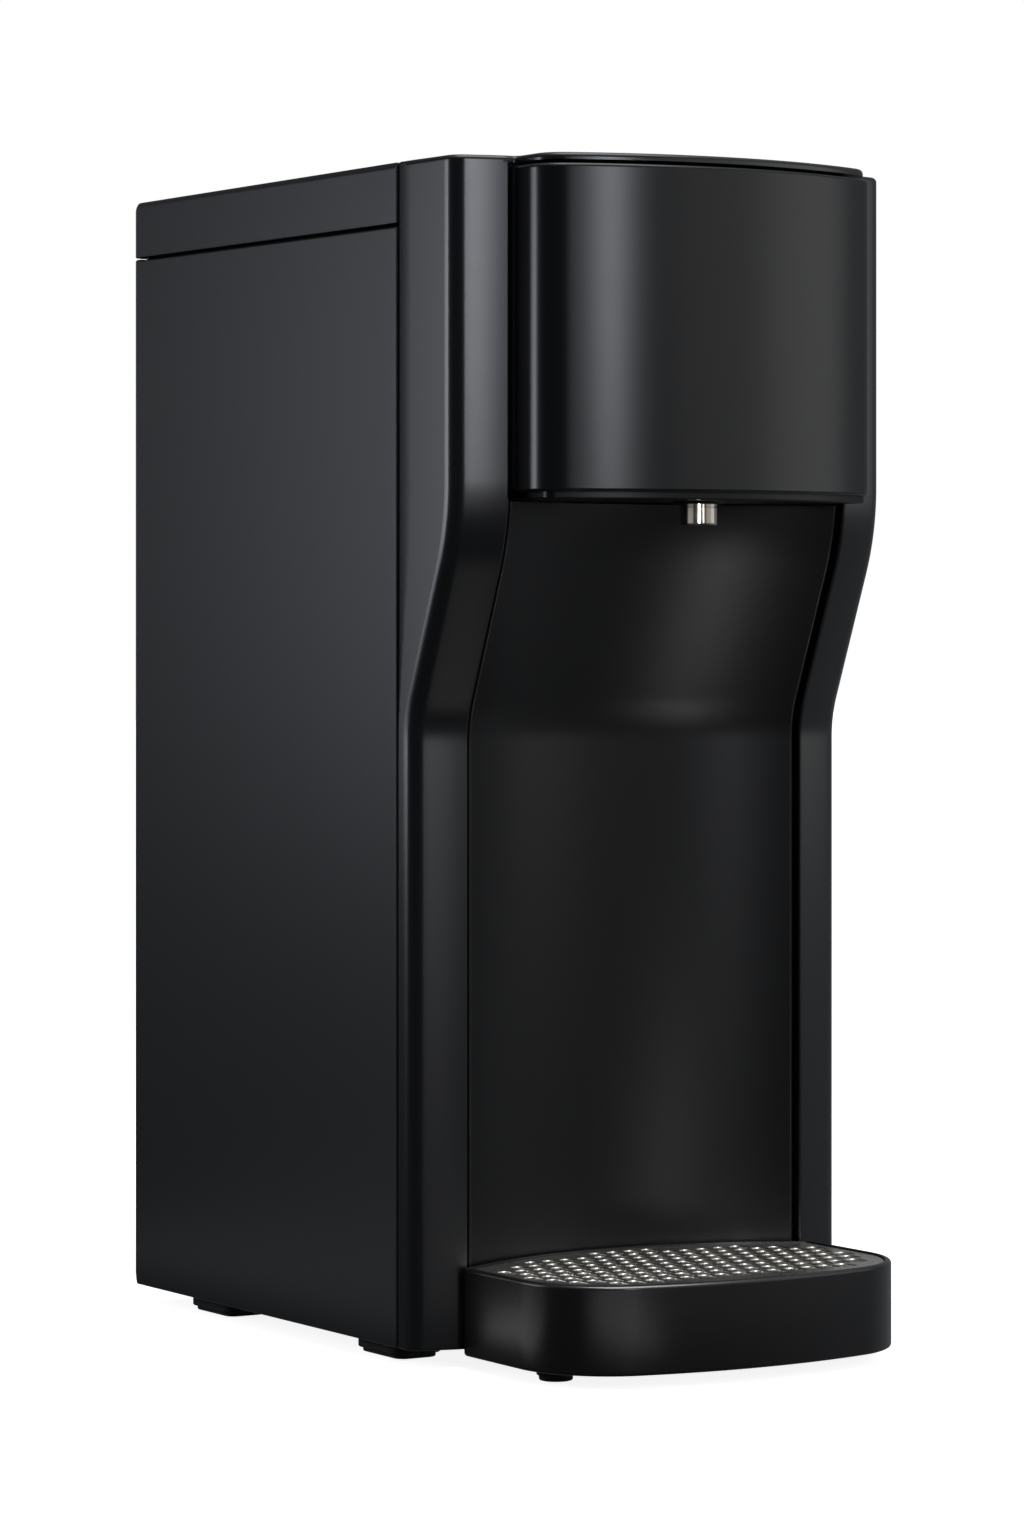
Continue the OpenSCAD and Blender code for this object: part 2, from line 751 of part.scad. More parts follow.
module splash_panel() {
    color("#17181a") difference() {
        union() {
            front_sweep(panel_plan(), panel_cells(), floor_z + fit, panel_top);
            at_sides() for (z = [floor_z + 50, bend_z0 - 40]) {
                bar(xp - 1, xi - fit, panel_edge_y + 4, panel_edge_y + 10, z, z + 12);
            }
        }
        at_sides() bar(tongue_x - tongue_w / 2 - 1, tongue_x + tongue_w / 2 + 1,
            panel_edge_y, bay_back_y + 1, tongue_z - 1, tongue_z + tongue_t + 1);
    }
}

module head_cover() {
    color("#1d1f22") difference() {
        union() {
            translate([0, 0, head_z]) linear_extrude(head_top - head_z) difference() {
                head_plan(0);
                head_plan(shell_t);
            }
            translate([0, 0, head_top - shell_t]) linear_extrude(shell_t) head_plan(0);
        }
        bar(shell_t - hw, hw - shell_t, bulk_y - fit - shell_t - 1, bulk_y, head_z - 1, head_top - shell_t);
    }
}

module nozzle_plate() {
    inset = shell_t + fit;
    wall_back_y = bulk_y - 2;
    color("#17181a") difference() {
        union() {
            translate([0, 0, plate_z]) linear_extrude(head_z + 8 - plate_z) difference() {
                head_plan(inset);
                head_plan(inset + 2);
            }
            translate([0, 0, plate_z]) linear_extrude(plate_t) head_plan(inset);
            bar(inset - hw, hw - inset, wall_back_y - 2, bulk_y + 12, plate_z, plate_z + plate_t);
        }
        bar(inset - hw - 1, hw + 1, wall_back_y, bulk_y + 1, plate_z + plate_t, head_z + 9);
        upright(0, nozzle_y, plate_z - 1, plate_z + plate_t + 1, nozzle_r + 1.5);
    }
}

module nozzle_collar() {
    color("#0e0e0f") difference() {
        union() {
            upright(0, nozzle_y, plate_z - 1.2, plate_z, nozzle_r + 2.8);
            upright(0, nozzle_y, plate_z - 1.2, plate_z + plate_t, nozzle_r + 1.4);
        }
        upright(0, nozzle_y, plate_z - 2, plate_z + plate_t + 1, nozzle_r + 0.05);
    }
}

module nozzle_sleeve() {
    color("#c9c4b8") difference() {
        union() {
            upright(0, nozzle_y, plate_z - nozzle_show, plate_z + plate_t, nozzle_r);
        }
        upright(0, nozzle_y, plate_z - nozzle_show - 1, plate_z + plate_t + 1, nozzle_r - nozzle_wall);
    }
}

module flow_insert() {
    r = nozzle_r - nozzle_wall - 0.05;
    color("#2a2b2e") difference() {
        upright(0, nozzle_y, plate_z - nozzle_show + 1.5, plate_z + plate_t, r);
        for (i = [0:5]) {
            translate([0, nozzle_y, 0]) rotate(i * 60) upright(r * 0.6, 0, 0, plate_z + 9, 1);
        }
        upright(0, nozzle_y, 0, plate_z + 9, 1);
    }
}

module nozzle_elbow() {
    base = plate_z + plate_t;
    color("#d8d9d6") difference() {
        union() {
            upright(0, nozzle_y, base, base + 3, nozzle_r + 6);
            upright(0, nozzle_y, base, elbow_z + elbow_r, elbow_r);
            along_y(0, elbow_z, nozzle_y, bulk_y - 3, elbow_r);
            along_y(0, elbow_z, nozzle_y, elbow_back_y, tail_r);
        }
        upright(0, nozzle_y, base - 1, elbow_z, elbow_r - 3);
        along_y(0, elbow_z, nozzle_y, elbow_back_y + 1, bore_r);
    }
}

module touch_board() {
    color("#1c4a32") difference() {
        union() {
            bar(-touch_w / 2, touch_w / 2, touch_y, touch_y + board_t, touch_z, touch_z + touch_h);
            bar(-14, 14, touch_y - 1.4, touch_y, touch_z + 8, touch_z + 30);
            bar(-40, -22, touch_y + board_t, touch_y + board_t + 6, touch_z + 6, touch_z + 14);
            bar(20, 34, touch_y + board_t, touch_y + board_t + 2, touch_z + 20, touch_z + 34);
        }
        touch_places() along_y(0, 0, touch_y - 1, touch_y + board_t + 1, 1.7);
    }
}

module touch_screws() {
    color("#8a8c90") touch_places() {
        along_y(0, 0, touch_y - 1.8, touch_y, 2.8);
        along_y(0, 0, touch_y - 1, touch_y + board_t + 8, 1.5);
    }
}

module inner_frame() {
    color("#a9adb0") difference() {
        union() {
            at_sides() {
                bar(frame_x, frame_x + steel_t, frame_front_y, frame_back2_y, floor_z, shelf_z + deck_t);
                bar(frame_x - 16, frame_x + 0.5, frame_front_y, frame_back2_y, floor_z, floor_z + steel_t);
            }
            bar(-frame_x, frame_x, frame_front_y, frame_back2_y, deck_z, deck_z + deck_t);
            bar(-frame_x, frame_x, frame_front_y, frame_back2_y, shelf_z, shelf_z + deck_t);
        }
        at_sides() {
            bar(frame_x - 1, frame_x + 5, frame_front_y + 16, frame_back2_y - 16, floor_z + 20, deck_z - 14);
            bar(frame_x - 1, frame_x + 5, frame_front_y + 16, frame_back2_y - 16, deck_z + 30, shelf_z - 20);
            for (y = [frame_front_y + 10, frame_back2_y - 10]) {
                upright(frame_x - 9, y, floor_z - 1, floor_z + 4, 1.7);
            }
        }
        upright(0, cold_y, deck_z - 1, deck_z + deck_t + 1, hose_r + 3);
        upright(port_x, cold_y, deck_z - 1, deck_z + deck_t + 1, hose_r + 3);
        upright(0, cold_y, shelf_z - 1, shelf_z + deck_t + 1, spout_r + 1);
        bar(-frame_x + 3, -foam_half - 1, cold_y + 20, frame_back2_y - 3, deck_z - 1, deck_z + deck_t + 1);
    }
}

module frame_screws() {
    color("#8a8c90") for (sx = [-1, 1]) {
        for (y = [frame_front_y + 10, frame_back2_y - 10]) {
            upright(sx * (frame_x - 9), y, foot_h + 0.5, floor_z + steel_t + 1, 1.5);
            upright(sx * (frame_x - 9), y, floor_z + steel_t, floor_z + steel_t + 2, 3);
        }
    }
}

res_mid_y = res_y + res_d / 2;

module reservoir() {
    color("#b9c6cc") difference() {
        union() {
            translate([0, res_mid_y, res_z]) linear_extrude(res_top - res_z) rounded(2 * res_x, res_d, res_r);
            translate([0, res_mid_y, res_top - 3]) linear_extrude(3)
                rounded(2 * res_x + 5, res_d + 5, res_r + 2.5);
            upright(0, cold_y, spout_z, res_z + 1, spout_r);
        }
        translate([0, res_mid_y, res_z + res_floor]) linear_extrude(res_top)
            rounded(2 * (res_x - res_t), res_d - 2 * res_t, res_r - res_t);
        upright(0, cold_y, spout_z - 1, res_z + 9, spout_r - 2);
    }
}

module reservoir_seal() {
    color("#d9dad7") translate([0, res_mid_y, res_top]) linear_extrude(seal_h) difference() {
        rounded(2 * res_x + 4, res_d + 4, res_r + 2);
        rounded(2 * (res_x - res_t) + 1, res_d - 2 * res_t + 1, res_r - res_t + 0.5);
    }
}

module outlet_strainer() {
    z = res_z + res_floor;
    color("#c4c8ca") difference() {
        upright(0, cold_y, z, z + 16, spout_r + 5);
        upright(0, cold_y, z - 1, z + 14.5, spout_r + 3.8);
        for (i = [0:7]) {
            translate([0, cold_y, z + 7]) rotate([0, 90, i * 45]) cylinder(r = 1.6, h = 20);
        }
        for (i = [0:5]) {
            translate([0, cold_y, 0]) rotate(i * 60) upright(5.5, 0, z, z + 20, 1.6);
        }
    }
}

module float_stem() {
    z = res_z + res_floor;
    color("#e3e4e2") {
        upright(stem_x, stem_y, z, z + 4.7, 9);
        upright(stem_x, stem_y, z, float_z + float_h + float_travel + 4, stem_r);
        upright(stem_x, stem_y, float_z + float_h + float_travel + 1,
            float_z + float_h + float_travel + 4, stem_r + 4);
    }
}

module level_float() {
    color("#f0efe9") difference() {
        upright(stem_x, stem_y, float_z, float_z + float_h, float_r);
        upright(stem_x, stem_y, float_z - 1, float_z + float_h + 1, stem_r + 0.5);
        translate([stem_x, stem_y, float_z + float_h / 2]) rotate_extrude()
            translate([float_r + 1, 0]) circle(3);
    }
}

module cold_tank() {
    color("#c2c6c9") difference() {
        union() {
            upright(0, cold_y, tank_z, tank_top, cold_r);
            for (x = [0, port_x]) {
                upright(x, cold_y, port_z, tank_z + 1, tail_r);
            }
        }
        upright(0, cold_y, tank_z + 1.5, tank_top + 1, cold_r - 1.5);
        for (x = [0, port_x]) {
            upright(x, cold_y, port_z - 1, tank_z + 2, bore_r);
        }
    }
}

module tank_lid() {
    color("#b5babd") difference() {
        union() {
            upright(0, cold_y, tank_top, cap_z, cold_r);
            upright(0, cold_y, tank_top - 3, tank_top + 1, cold_r - 1.5 - fit);
        }
        upright(0, cold_y, tank_top - 4, cap_z + 1, spout_r + 2.5);
    }
}

module feed_grommet() {
    color("#3a3b3d") difference() {
        upright(0, cold_y, tank_top - 3, cap_z, spout_r + 2.45);
        upright(0, cold_y, tank_top - 4, cap_z + 1, spout_r + 0.05);
    }
}

module foam_body() {
    color("#ece9df") difference() {
        bar(-foam_half, foam_half, cold_y - foam_half, foam_back_y, foam_z, cap_z);
        upright(0, cold_y, tank_z, cap_z + 1, cold_r + fit);
        for (x = [0, port_x]) {
            upright(x, cold_y, foam_z - 1, tank_z + 1, tail_r + 0.3);
        }
        bar(-block_w / 2 - 0.2, block_w / 2 + 0.2, cold_y, foam_back_y + 1,
            core_z - block_w / 2 - 0.2, core_z + block_w / 2 + 0.2);
    }
}

module foam_cap() {
    color("#ece9df") difference() {
        bar(-foam_half, foam_half, cold_y - foam_half, foam_back_y, cap_z, cap_z + foam_t);
        upright(0, cold_y, cap_z - 1, cap_z + foam_t + 1, spout_r + 0.5);
    }
}

module clamp_places() {
    for (sx = [-1, 1]) {
        for (sz = [-1, 1]) {
            translate([sx * clamp_x, 0, core_z + sz * clamp_x]) children();
        }
    }
}

module cold_block() {
    color("#b7bcc0") difference() {
        union() {
            bar(-block_w / 2, block_w / 2, cold_y + cold_r - 9, foam_back_y + 1,
                core_z - block_w / 2, core_z + block_w / 2);
            bar(-pad_w / 2, pad_w / 2, foam_back_y, pad_y, core_z - pad_w / 2, core_z + pad_w / 2);
        }
        upright(0, cold_y, tank_z - 1, cap_z, cold_r + 0.15);
        clamp_places() along_y(0, 0, foam_back_y - 1, pad_y + 1, 1.56);
    }
}

module cooling_module() {
    color("#e8e6e0") bar(-module_w / 2, module_w / 2, pad_y, sink_y, core_z - module_w / 2, core_z + module_w / 2);
}

module module_gasket() {
    in_w = module_w / 2 + 0.3;
    color("#303134") difference() {
        bar(-pad_w / 2, pad_w / 2, pad_y, sink_y, core_z - pad_w / 2, core_z + pad_w / 2);
        bar(-in_w, in_w, pad_y - 1, sink_y + 1, core_z - in_w, core_z + in_w);
        clamp_places() along_y(0, 0, pad_y - 1, sink_y + 1, 1.8);
    }
}

module heat_sink() {
    color("#aeb3b7") difference() {
        union() {
            bar(-sink_w / 2, sink_w / 2, sink_y, fin_y, core_z - sink_w / 2, core_z + sink_w / 2);
            for (i = [-6:6]) {
                bar(i * fin_pitch - fin_t / 2, i * fin_pitch + fin_t / 2, fin_y - 0.5, fin_y + fin_h,
                    core_z - sink_w / 2, core_z + sink_w / 2);
            }
        }
        clamp_places() along_y(0, 0, sink_y - 1, fin_y + 1, 1.8);
    }
}

module clamp_screws() {
    color("#8a8c90") clamp_places() {
        along_y(0, 0, foam_back_y + 0.5, fin_y + 1, 1.5);
        along_y(0, 0, fin_y, fin_y + 2.4, 2.5);
    }
}

module fan_places() {
    for (sx = [-1, 1]) {
        for (sz = [-1, 1]) {
            translate([sx * fan_hole, 0, core_z + sz * fan_hole]) children();
        }
    }
}

module fan_frame() {
    back = fan_y + fan_t;
    color("#151517") difference() {
        union() {
            difference() {
                bar(-fan_w / 2, fan_w / 2, fan_y, back, core_z - fan_w / 2, core_z + fan_w / 2);
                along_y(0, core_z, fan_y - 1, back + 1, rotor_r + 1.4);
            }
            along_y(0, core_z, back - 6, back, hub_r);
            for (a = [45, 135]) {
                translate([0, 0, core_z]) rotate([0, a, 0])
                    bar(-fan_w / 2, fan_w / 2, back - 4, back, -2.5, 2.5);
            }
        }
        along_y(0, core_z, back - 8, back - 1, 1.5 + pin_play);
        fan_places() along_y(0, 0, fan_y - 1, back + 1, 2.85);
    }
}

module fan_rotor() {
    back = fan_y + fan_t;
    color("#1a1a1d") {
        along_y(0, core_z, fan_y + 2, back - 7, hub_r);
        along_y(0, core_z, back - 8, back - 1.6, 1.5);
        for (i = [0:6]) {
            translate([0, fan_y + (fan_t - 5) / 2, core_z]) rotate([0, i * 360 / 7, 0])
                translate([hub_r - 1, 0, 0]) rotate([38, 0, 0]) translate([0, -0.8, -9.5])
                cube([rotor_r - hub_r - 1.5, 1.6, 19]);
        }
    }
}

module fan_screws() {
    back = fan_y + fan_t;
    color("#8a8c90") fan_places() {
        along_y(0, 0, fan_y - 12, back + 1, 2.6);
        along_y(0, 0, back, back + 2.2, 4.2);
    }
}

module pump_head() {
    color("#2b2d31") difference() {
        union() {
            along_y(0, pump_z, pump_y, motor_y, pump_r);
            bar(-pump_r * 0.8, pump_r * 0.8, pump_y + 3, motor_y - 3, floor_z, pump_z - 6);
            along_y(0, pump_z, inlet_y, pump_y + 1, tail_r);
            along_x(pump_y + pump_l / 2, outlet_z, outlet_x, -4, tail_r);
        }
        along_y(0, pump_z, pump_y + pump_wall, motor_y - pump_wall, pump_r - 5);
        along_y(0, pump_z, inlet_y - 1, pump_y + pump_wall + 1, bore_r);
        along_x(pump_y + pump_l / 2, outlet_z, outlet_x - 1, -3, bore_r);
        along_y(0, pump_z, pump_y + 4, motor_y + 1, shaft_r + pin_play);
    }
}

module pump_motor() {
    color("#85888c") difference() {
        union() {
            along_y(0, pump_z, motor_y, motor_y + motor_l, motor_r);
            along_y(0, pump_z, motor_y + motor_l - 1, motor_y + motor_l + 4, motor_r * 0.4);
        }
        along_y(0, pump_z, motor_y - 1, motor_y + 22, shaft_r + pin_play);
    }
}

module pump_rotor() {
    color("#d6d2c4") {
        along_y(0, pump_z, motor_y - pump_wall - 4, motor_y - pump_wall - 1, impeller_r);
        along_y(0, pump_z, pump_y + pump_wall + 5, motor_y - pump_wall - 2, 6);
        along_y(0, pump_z, motor_y - pump_wall - 3, motor_y + 20, shaft_r);
        for (i = [0:5]) {
            translate([0, 0, pump_z]) rotate([0, i * 60, 0])
                bar(4, impeller_r - 0.5, pump_y + pump_wall + 3, motor_y - pump_wall - 3, -1, 1);
        }
    }
}

module pump_bracket() {
    y0 = motor_y + 12;
    color("#a9adb0") difference() {
        bar(-motor_r - 4, motor_r + 4, y0, y0 + 16, floor_z, pump_z - 2);
        along_y(0, pump_z, y0 - 1, y0 + 17, motor_r + 0.2);
    }
}

hose_x = -(foam_half + frame_x) / 2;
hose_end_y = bulk_y + shell_t + 2;

module tank_hose() {
    color("#dfe2e0") hose([
        [0, cold_y, deck_z - 3],
        [0, cold_y, port_z],
        [0, cold_y, port_z - 12],
        [0, cold_y + 7, pump_z + 12],
        [0, inlet_y - 12, pump_z + 0.5],
        [0, inlet_y, pump_z],
        [0, pump_y - 2, pump_z]]);
}

module delivery_hose() {
    y = pump_y + pump_l / 2;
    front = res_y - hose_r - 12;
    color("#dfe2e0") hose([
        [-pump_r - 3, y, outlet_z],
        [outlet_x, y, outlet_z],
        [outlet_x - 12, y, outlet_z + 1],
        [hose_x + 1, y, outlet_z + 20],
        [hose_x, y, deck_z],
        [hose_x, cold_y + 20, foam_z + 70],
        [hose_x, cold_y - 30, core_z + 30],
        [hose_x + 4, front + 6, bend_low_z + 10],
        [hose_x + 8, front, shelf_z],
        [hose_x + 30, front - 4, shelf_z + 40],
        [-24, front - 3, elbow_z - 10],
        [-3, elbow_back_y + 16, elbow_z],
        [0, elbow_back_y, elbow_z],
        [0, hose_end_y, elbow_z]]);
}

module drain_hose() {
    end = rear_in_y - 12;
    color("#dfe2e0") hose([
        [port_x, cold_y, deck_z - 3],
        [port_x, cold_y, port_z],
        [port_x, cold_y, port_z - 12],
        [port_x + 6, cold_y + 12, drain_z + 18],
        [drain_x - 10, cold_y + 40, drain_z + 1],
        [drain_x, cold_y + 70, drain_z],
        [drain_x, end - 14, drain_z],
        [drain_x, end - 1, drain_z]]);
}

module hose_clips() {
    y = pump_y + pump_l / 2;
    color("#9b9ea2") {
        clip([0, cold_y, port_z + 4], [0, 0, 90]);
        clip([port_x, cold_y, port_z + 4], [0, 0, 0]);
        clip([0, inlet_y + 10, pump_z], [90, 0, 0]);
        clip([outlet_x + 3, y, outlet_z], [0, 90, 0]);
        clip([0, elbow_back_y - 3, elbow_z], [90, 0, 0]);
        clip([drain_x, rear_in_y - 15, drain_z], [90, 0, 0]);
    }
}

module board_places() {
    for (sx = [-1, 1]) {
        for (z = [pcb_z + 5, pcb_z + pcb_h - 5]) {
            translate([sx * (pcb_w / 2 - 5), 0, z]) children();
        }
    }
}

module main_board() {
    y = pcb_y - board_t;
    color("#1d5138") difference() {
        union() {
            bar(-pcb_w / 2, pcb_w / 2, y, pcb_y, pcb_z, pcb_z + pcb_h);
            bar(-38, -8, y - 13, y + 0.5, pcb_z + 16, pcb_z + 46);
            bar(12, 40, y - 12, y + 0.5, pcb_z + 60, pcb_z + 76);
            bar(-44, -20, y - 9, y + 0.5, pcb_z + 80, pcb_z + 92);
            bar(-4, 20, y - 9, y + 0.5, pcb_z + 84, pcb_z + 94);
            along_y(10, pcb_z + 24, y - 13, y + 0.5, 8);
            along_y(30, pcb_z + 24, y - 13, y + 0.5, 8);
            along_y(46, pcb_z + 44, y - 12, y + 0.5, 5);
        }
        board_places() along_y(0, 0, y - 1, pcb_y + 1, 1.7);
    }
}

module board_screws() {
    y = pcb_y - board_t;
    color("#8a8c90") board_places() {
        along_y(0, 0, y - 2, y, 3);
        along_y(0, 0, y - 1, pcb_y + board_gap - 1.5, 1.5);
    }
}

module inlet_blades() {
    y0 = rear_out_y + 1.8 - inlet_d;
    for (p = [[-7, -2], [7, -2], [0, 2]]) {
        translate([p[0], 0, p[1]]) bar(-1, 1, y0 - 16, y0 + inlet_d - 2.5, -2, 2);
    }
}

module mains_inlet() {
    face = rear_out_y + 1.8;
    w = inlet_w / 2;
    h = inlet_h / 2;
    color("#111113") translate([-inlet_x, 0, inlet_z]) difference() {
        union() {
            bar(-w - 4, w + 4, rear_out_y, face, -h - 4, h + 4);
            bar(-w - inlet_wall, w + inlet_wall, face - inlet_d - 5, rear_out_y + 1, -h - inlet_wall, h + inlet_wall);
        }
        translate([0, face + 1, 0]) rotate([90, 0, 0]) linear_extrude(inlet_d + 1)
            polygon([[-w, -h], [w, -h], [w, h - 5], [w - 5, h], [5 - w, h], [-w, h - 5]]);
        inlet_blades();
    }
}

module inlet_pins() {
    color("#b9b29a") translate([-inlet_x, 0, inlet_z]) inlet_blades();
}

rocker_y = rear_out_y - 3;

module switch_frame() {
    color("#111113") translate([-inlet_x, 0, switch_z]) difference() {
        union() {
            bar(-switch_w / 2 - 2, switch_w / 2 + 2, rear_out_y, rear_out_y + 1.4, -switch_h / 2 - 2, switch_h / 2 + 2);
            bar(-switch_w / 2, switch_w / 2, rear_in_y - 16, rear_out_y + 1, -switch_h / 2, switch_h / 2);
        }
        bar(2 - switch_w / 2, switch_w / 2 - 2, rear_in_y - 9, rear_out_y + 2, 1 - switch_h / 2, switch_h / 2 - 1);
        along_x(rocker_y, 0, 1 - switch_w / 2, switch_w / 2 - 1, 1.2 + pin_play);
    }
}

module switch_rocker() {
    half = switch_h / 2 - 1.9;
    tip = tan(rocker_tilt);
    color("#232427") translate([-inlet_x, 0, switch_z]) {
        along_x(rocker_y, 0, 1.3 - switch_w / 2, switch_w / 2 - 1.3, 1.2);
        translate([0, rocker_y, 0]) rotate([rocker_tilt, 0, 0]) translate([2.5 - switch_w / 2, 0, 0])
            rotate([90, 0, 90]) linear_extrude(switch_w - 5)
            polygon([[-2.2, -half * 0.6], [3.9 + half * tip, -half], [3.9, 0], [3.9 + half * tip, half],
                [-2.2, half * 0.6]]);
    }
}

module drain_fitting() {
    color("#1a1b1d") difference() {
        union() {
            along_y(drain_x, drain_z, rear_out_y, rear_out_y + 1.4, drain_r + 3);
            along_y(drain_x, drain_z, rear_in_y - 12, rear_out_y + 1, drain_r);
            along_y(drain_x, drain_z, rear_in_y - 5, rear_in_y, drain_r + 3);
            along_y(drain_x, drain_z, rear_in_y - 26, rear_in_y - 11, tail_r);
        }
        along_y(drain_x, drain_z, rear_in_y - 10, rear_out_y + 3, 5 + pin_play);
        along_y(drain_x, drain_z, rear_in_y - 27, rear_in_y - 9, bore_r);
    }
}

module drain_plug() {
    color("#3c3d40") {
        along_y(drain_x, drain_z, rear_in_y - 8, rear_out_y + 2.4, 5);
        along_y(drain_x, drain_z, rear_out_y + 1.6, rear_out_y + 2.6, drain_r + 2);
    }
}

module lid() {
    lug0 = hinge_x - ear_w / 2 - side_play - lug_w;
    lug1 = hinge_x + ear_w / 2 + side_play;
    back_z = hinge_z + 0.5;
    color("#26282b") difference() {
        union() {
            difference() {
                bar(-xo, xo, side_front_y, rear_y, lid_bottom, body_h);
                bar(shell_t - xo, xo - shell_t, side_front_y + shell_t, rear_y - shell_t,
                    lid_bottom - 1, body_h - lid_t);
                bar(-xo - 1, xo + 1, hinge_y, rear_y + 1, lid_bottom - 1, back_z);
                at_sides() bar(hinge_x - ear_w / 2 - side_play, hinge_x + ear_w / 2 + side_play,
                    rear_y - shell_t - 1, rear_y + 1, lid_bottom, hinge_z + hinge_eye_r + 0.6);
                translate([-xo - 1, rear_y, body_h]) rotate([90, 0, 90]) rotate(180)
                    linear_extrude(body_w + 2) corner_cut(rear_r);
                for (s = [0, 1]) {
                    mirror([s, 0, 0]) translate([xo, rear_y, lid_bottom - 1]) rotate(180)
                        linear_extrude(lid_h + 2) corner_cut(rear_r - 2.4);
                }
            }
            at_sides() for (x = [lug0, lug1]) {
                bar(x, x + lug_w, hinge_y - hinge_eye_r, rear_y - shell_t + 0.5, hinge_z, body_h - lid_t + 0.5);
                along_x(hinge_y, hinge_z, x, x + lug_w, hinge_eye_r);
            }
            at_sides() along_x(hinge_y, hinge_z, xo - shell_t, xo, hinge_eye_r);
        }
        at_sides() along_x(hinge_y, hinge_z, lug0 - 1, lug1 + lug_w + 1, hinge_pin_r + 0.02);
    }
}

module lid_pins() {
    color("#b0b3b6") at_sides() along_x(hinge_y, hinge_z, hinge_x - ear_w / 2 - lug_w, hinge_x + ear_w / 2 + lug_w,
        hinge_pin_r);
}

module tray_foot_places() {
    for (s = [-1, 1]) {
        translate([s * tray_foot_x, tray_foot_y, 0]) children();
    }
}

module drip_tray() {
    color("#1d1f22") difference() {
        union() {
            translate([0, 0, tray_lift]) linear_extrude(tray_top - tray_lift) tray_plan(0);
            at_sides() bar(tongue_x - tongue_w / 2, tongue_x + tongue_w / 2, tray_back_y, tongue_back_y,
                tongue_z, tongue_z + tongue_t);
        }
        translate([0, 0, grille_z]) linear_extrude(tray_top) tray_plan(tray_rim);
        translate([0, 0, tray_lift + tray_floor]) linear_extrude(tray_top) tray_plan(tray_rim + tray_ledge);
        tray_foot_places() upright(0, 0, 0, tray_lift + 2, peg_r + 0.1);
    }
}

module tray_feet() {
    color("#0c0c0d") tray_foot_places() {
        upright(0, 0, 0, tray_lift, tray_foot_r);
        upright(0, 0, 1, tray_lift + 1.8, peg_r);
    }
}

module drip_grille() {
    rows = 14;
    cols = 12;
    y0 = panel_edge_y - 2;
    color("#c6c8ca") difference() {
        translate([0, 0, grille_z + 0.2]) linear_extrude(grille_t) tray_plan(tray_rim + 0.4);
        for (j = [-rows:rows]) {
            for (i = [-cols:cols]) {
                x = (i + (abs(j) % 2) / 2) * hole_pitch;
                y = y0 + j * hole_row;
                if (in_grille(x, y)) {
                    translate([x, y, grille_z - 1]) {
                        translate([-hole_w / 2, (hole_w - hole_l) / 2, 0])
                            cube([hole_w, hole_l - hole_w, grille_t + 3]);
                        for (s = [-1, 1]) {
                            translate([0, s * (hole_l - hole_w) / 2, 0]) cylinder(d = hole_w, h = grille_t + 3);
                        }
                    }
                }
            }
        }
    }
}

base_pan();
body_feet();
left_side_panel();
right_side_panel();
rear_panel();
rear_screws();
front_frame();
splash_panel();
head_cover();
nozzle_plate();
nozzle_collar();
nozzle_sleeve();
flow_insert();
nozzle_elbow();
touch_board();
touch_screws();
inner_frame();
frame_screws();
reservoir();
reservoir_seal();
outlet_strainer();
float_stem();
level_float();
cold_tank();
tank_lid();
feed_grommet();
foam_body();
foam_cap();
cold_block();
cooling_module();
module_gasket();
heat_sink();
clamp_screws();
fan_frame();
fan_rotor();
fan_screws();
pump_head();
pump_motor();
pump_rotor();
pump_bracket();
tank_hose();
delivery_hose();
drain_hose();
hose_clips();
main_board();
board_screws();
mains_inlet();
inlet_pins();
switch_frame();
switch_rocker();
drain_fitting();
drain_plug();
lid();
lid_pins();
drip_tray();
tray_feet();
drip_grille();
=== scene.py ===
# %% [markdown]
# # A countertop water cooler
# The CAD part is the skeleton of this lesson: it says where every piece sits, and it stays fixed.
# Here the cooler gets its looks. Covers that a mould would give soft edges are worked out again as
# smooth surfaces, and what hides inside keeps its CAD shape and gets a proper finish.

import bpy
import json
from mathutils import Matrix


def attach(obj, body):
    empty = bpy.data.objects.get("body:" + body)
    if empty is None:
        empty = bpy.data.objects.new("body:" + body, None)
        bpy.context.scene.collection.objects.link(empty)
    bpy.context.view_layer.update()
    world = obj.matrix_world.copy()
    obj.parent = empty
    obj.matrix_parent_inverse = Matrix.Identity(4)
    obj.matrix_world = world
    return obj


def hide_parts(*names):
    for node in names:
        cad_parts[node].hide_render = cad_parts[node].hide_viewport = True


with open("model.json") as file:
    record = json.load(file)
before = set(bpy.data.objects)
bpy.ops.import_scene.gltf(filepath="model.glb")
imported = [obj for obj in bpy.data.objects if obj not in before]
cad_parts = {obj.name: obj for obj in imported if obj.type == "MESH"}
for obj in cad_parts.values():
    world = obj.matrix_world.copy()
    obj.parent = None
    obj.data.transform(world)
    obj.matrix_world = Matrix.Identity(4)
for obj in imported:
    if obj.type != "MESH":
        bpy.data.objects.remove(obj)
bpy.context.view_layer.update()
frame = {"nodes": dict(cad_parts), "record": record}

import json
import math

import bmesh
import bpy
import numpy as np

scene = bpy.context.scene
nodes = frame["nodes"]
slot_of = {part["node"]: part["material_slot"] for part in frame["record"]["subparts"]}

# %% [markdown]
# ## From grids to meshes
# Nearly every cover of this cooler is a plan outline carried upwards while its edge rolls over. That
# is a grid: one direction runs round the outline, the other along the profile. A grid could be drawn
# with extrude and bevel tools, but worked out as arrays it is exact, and one number changes an edge.

# %% Grid helpers
MM = 0.001


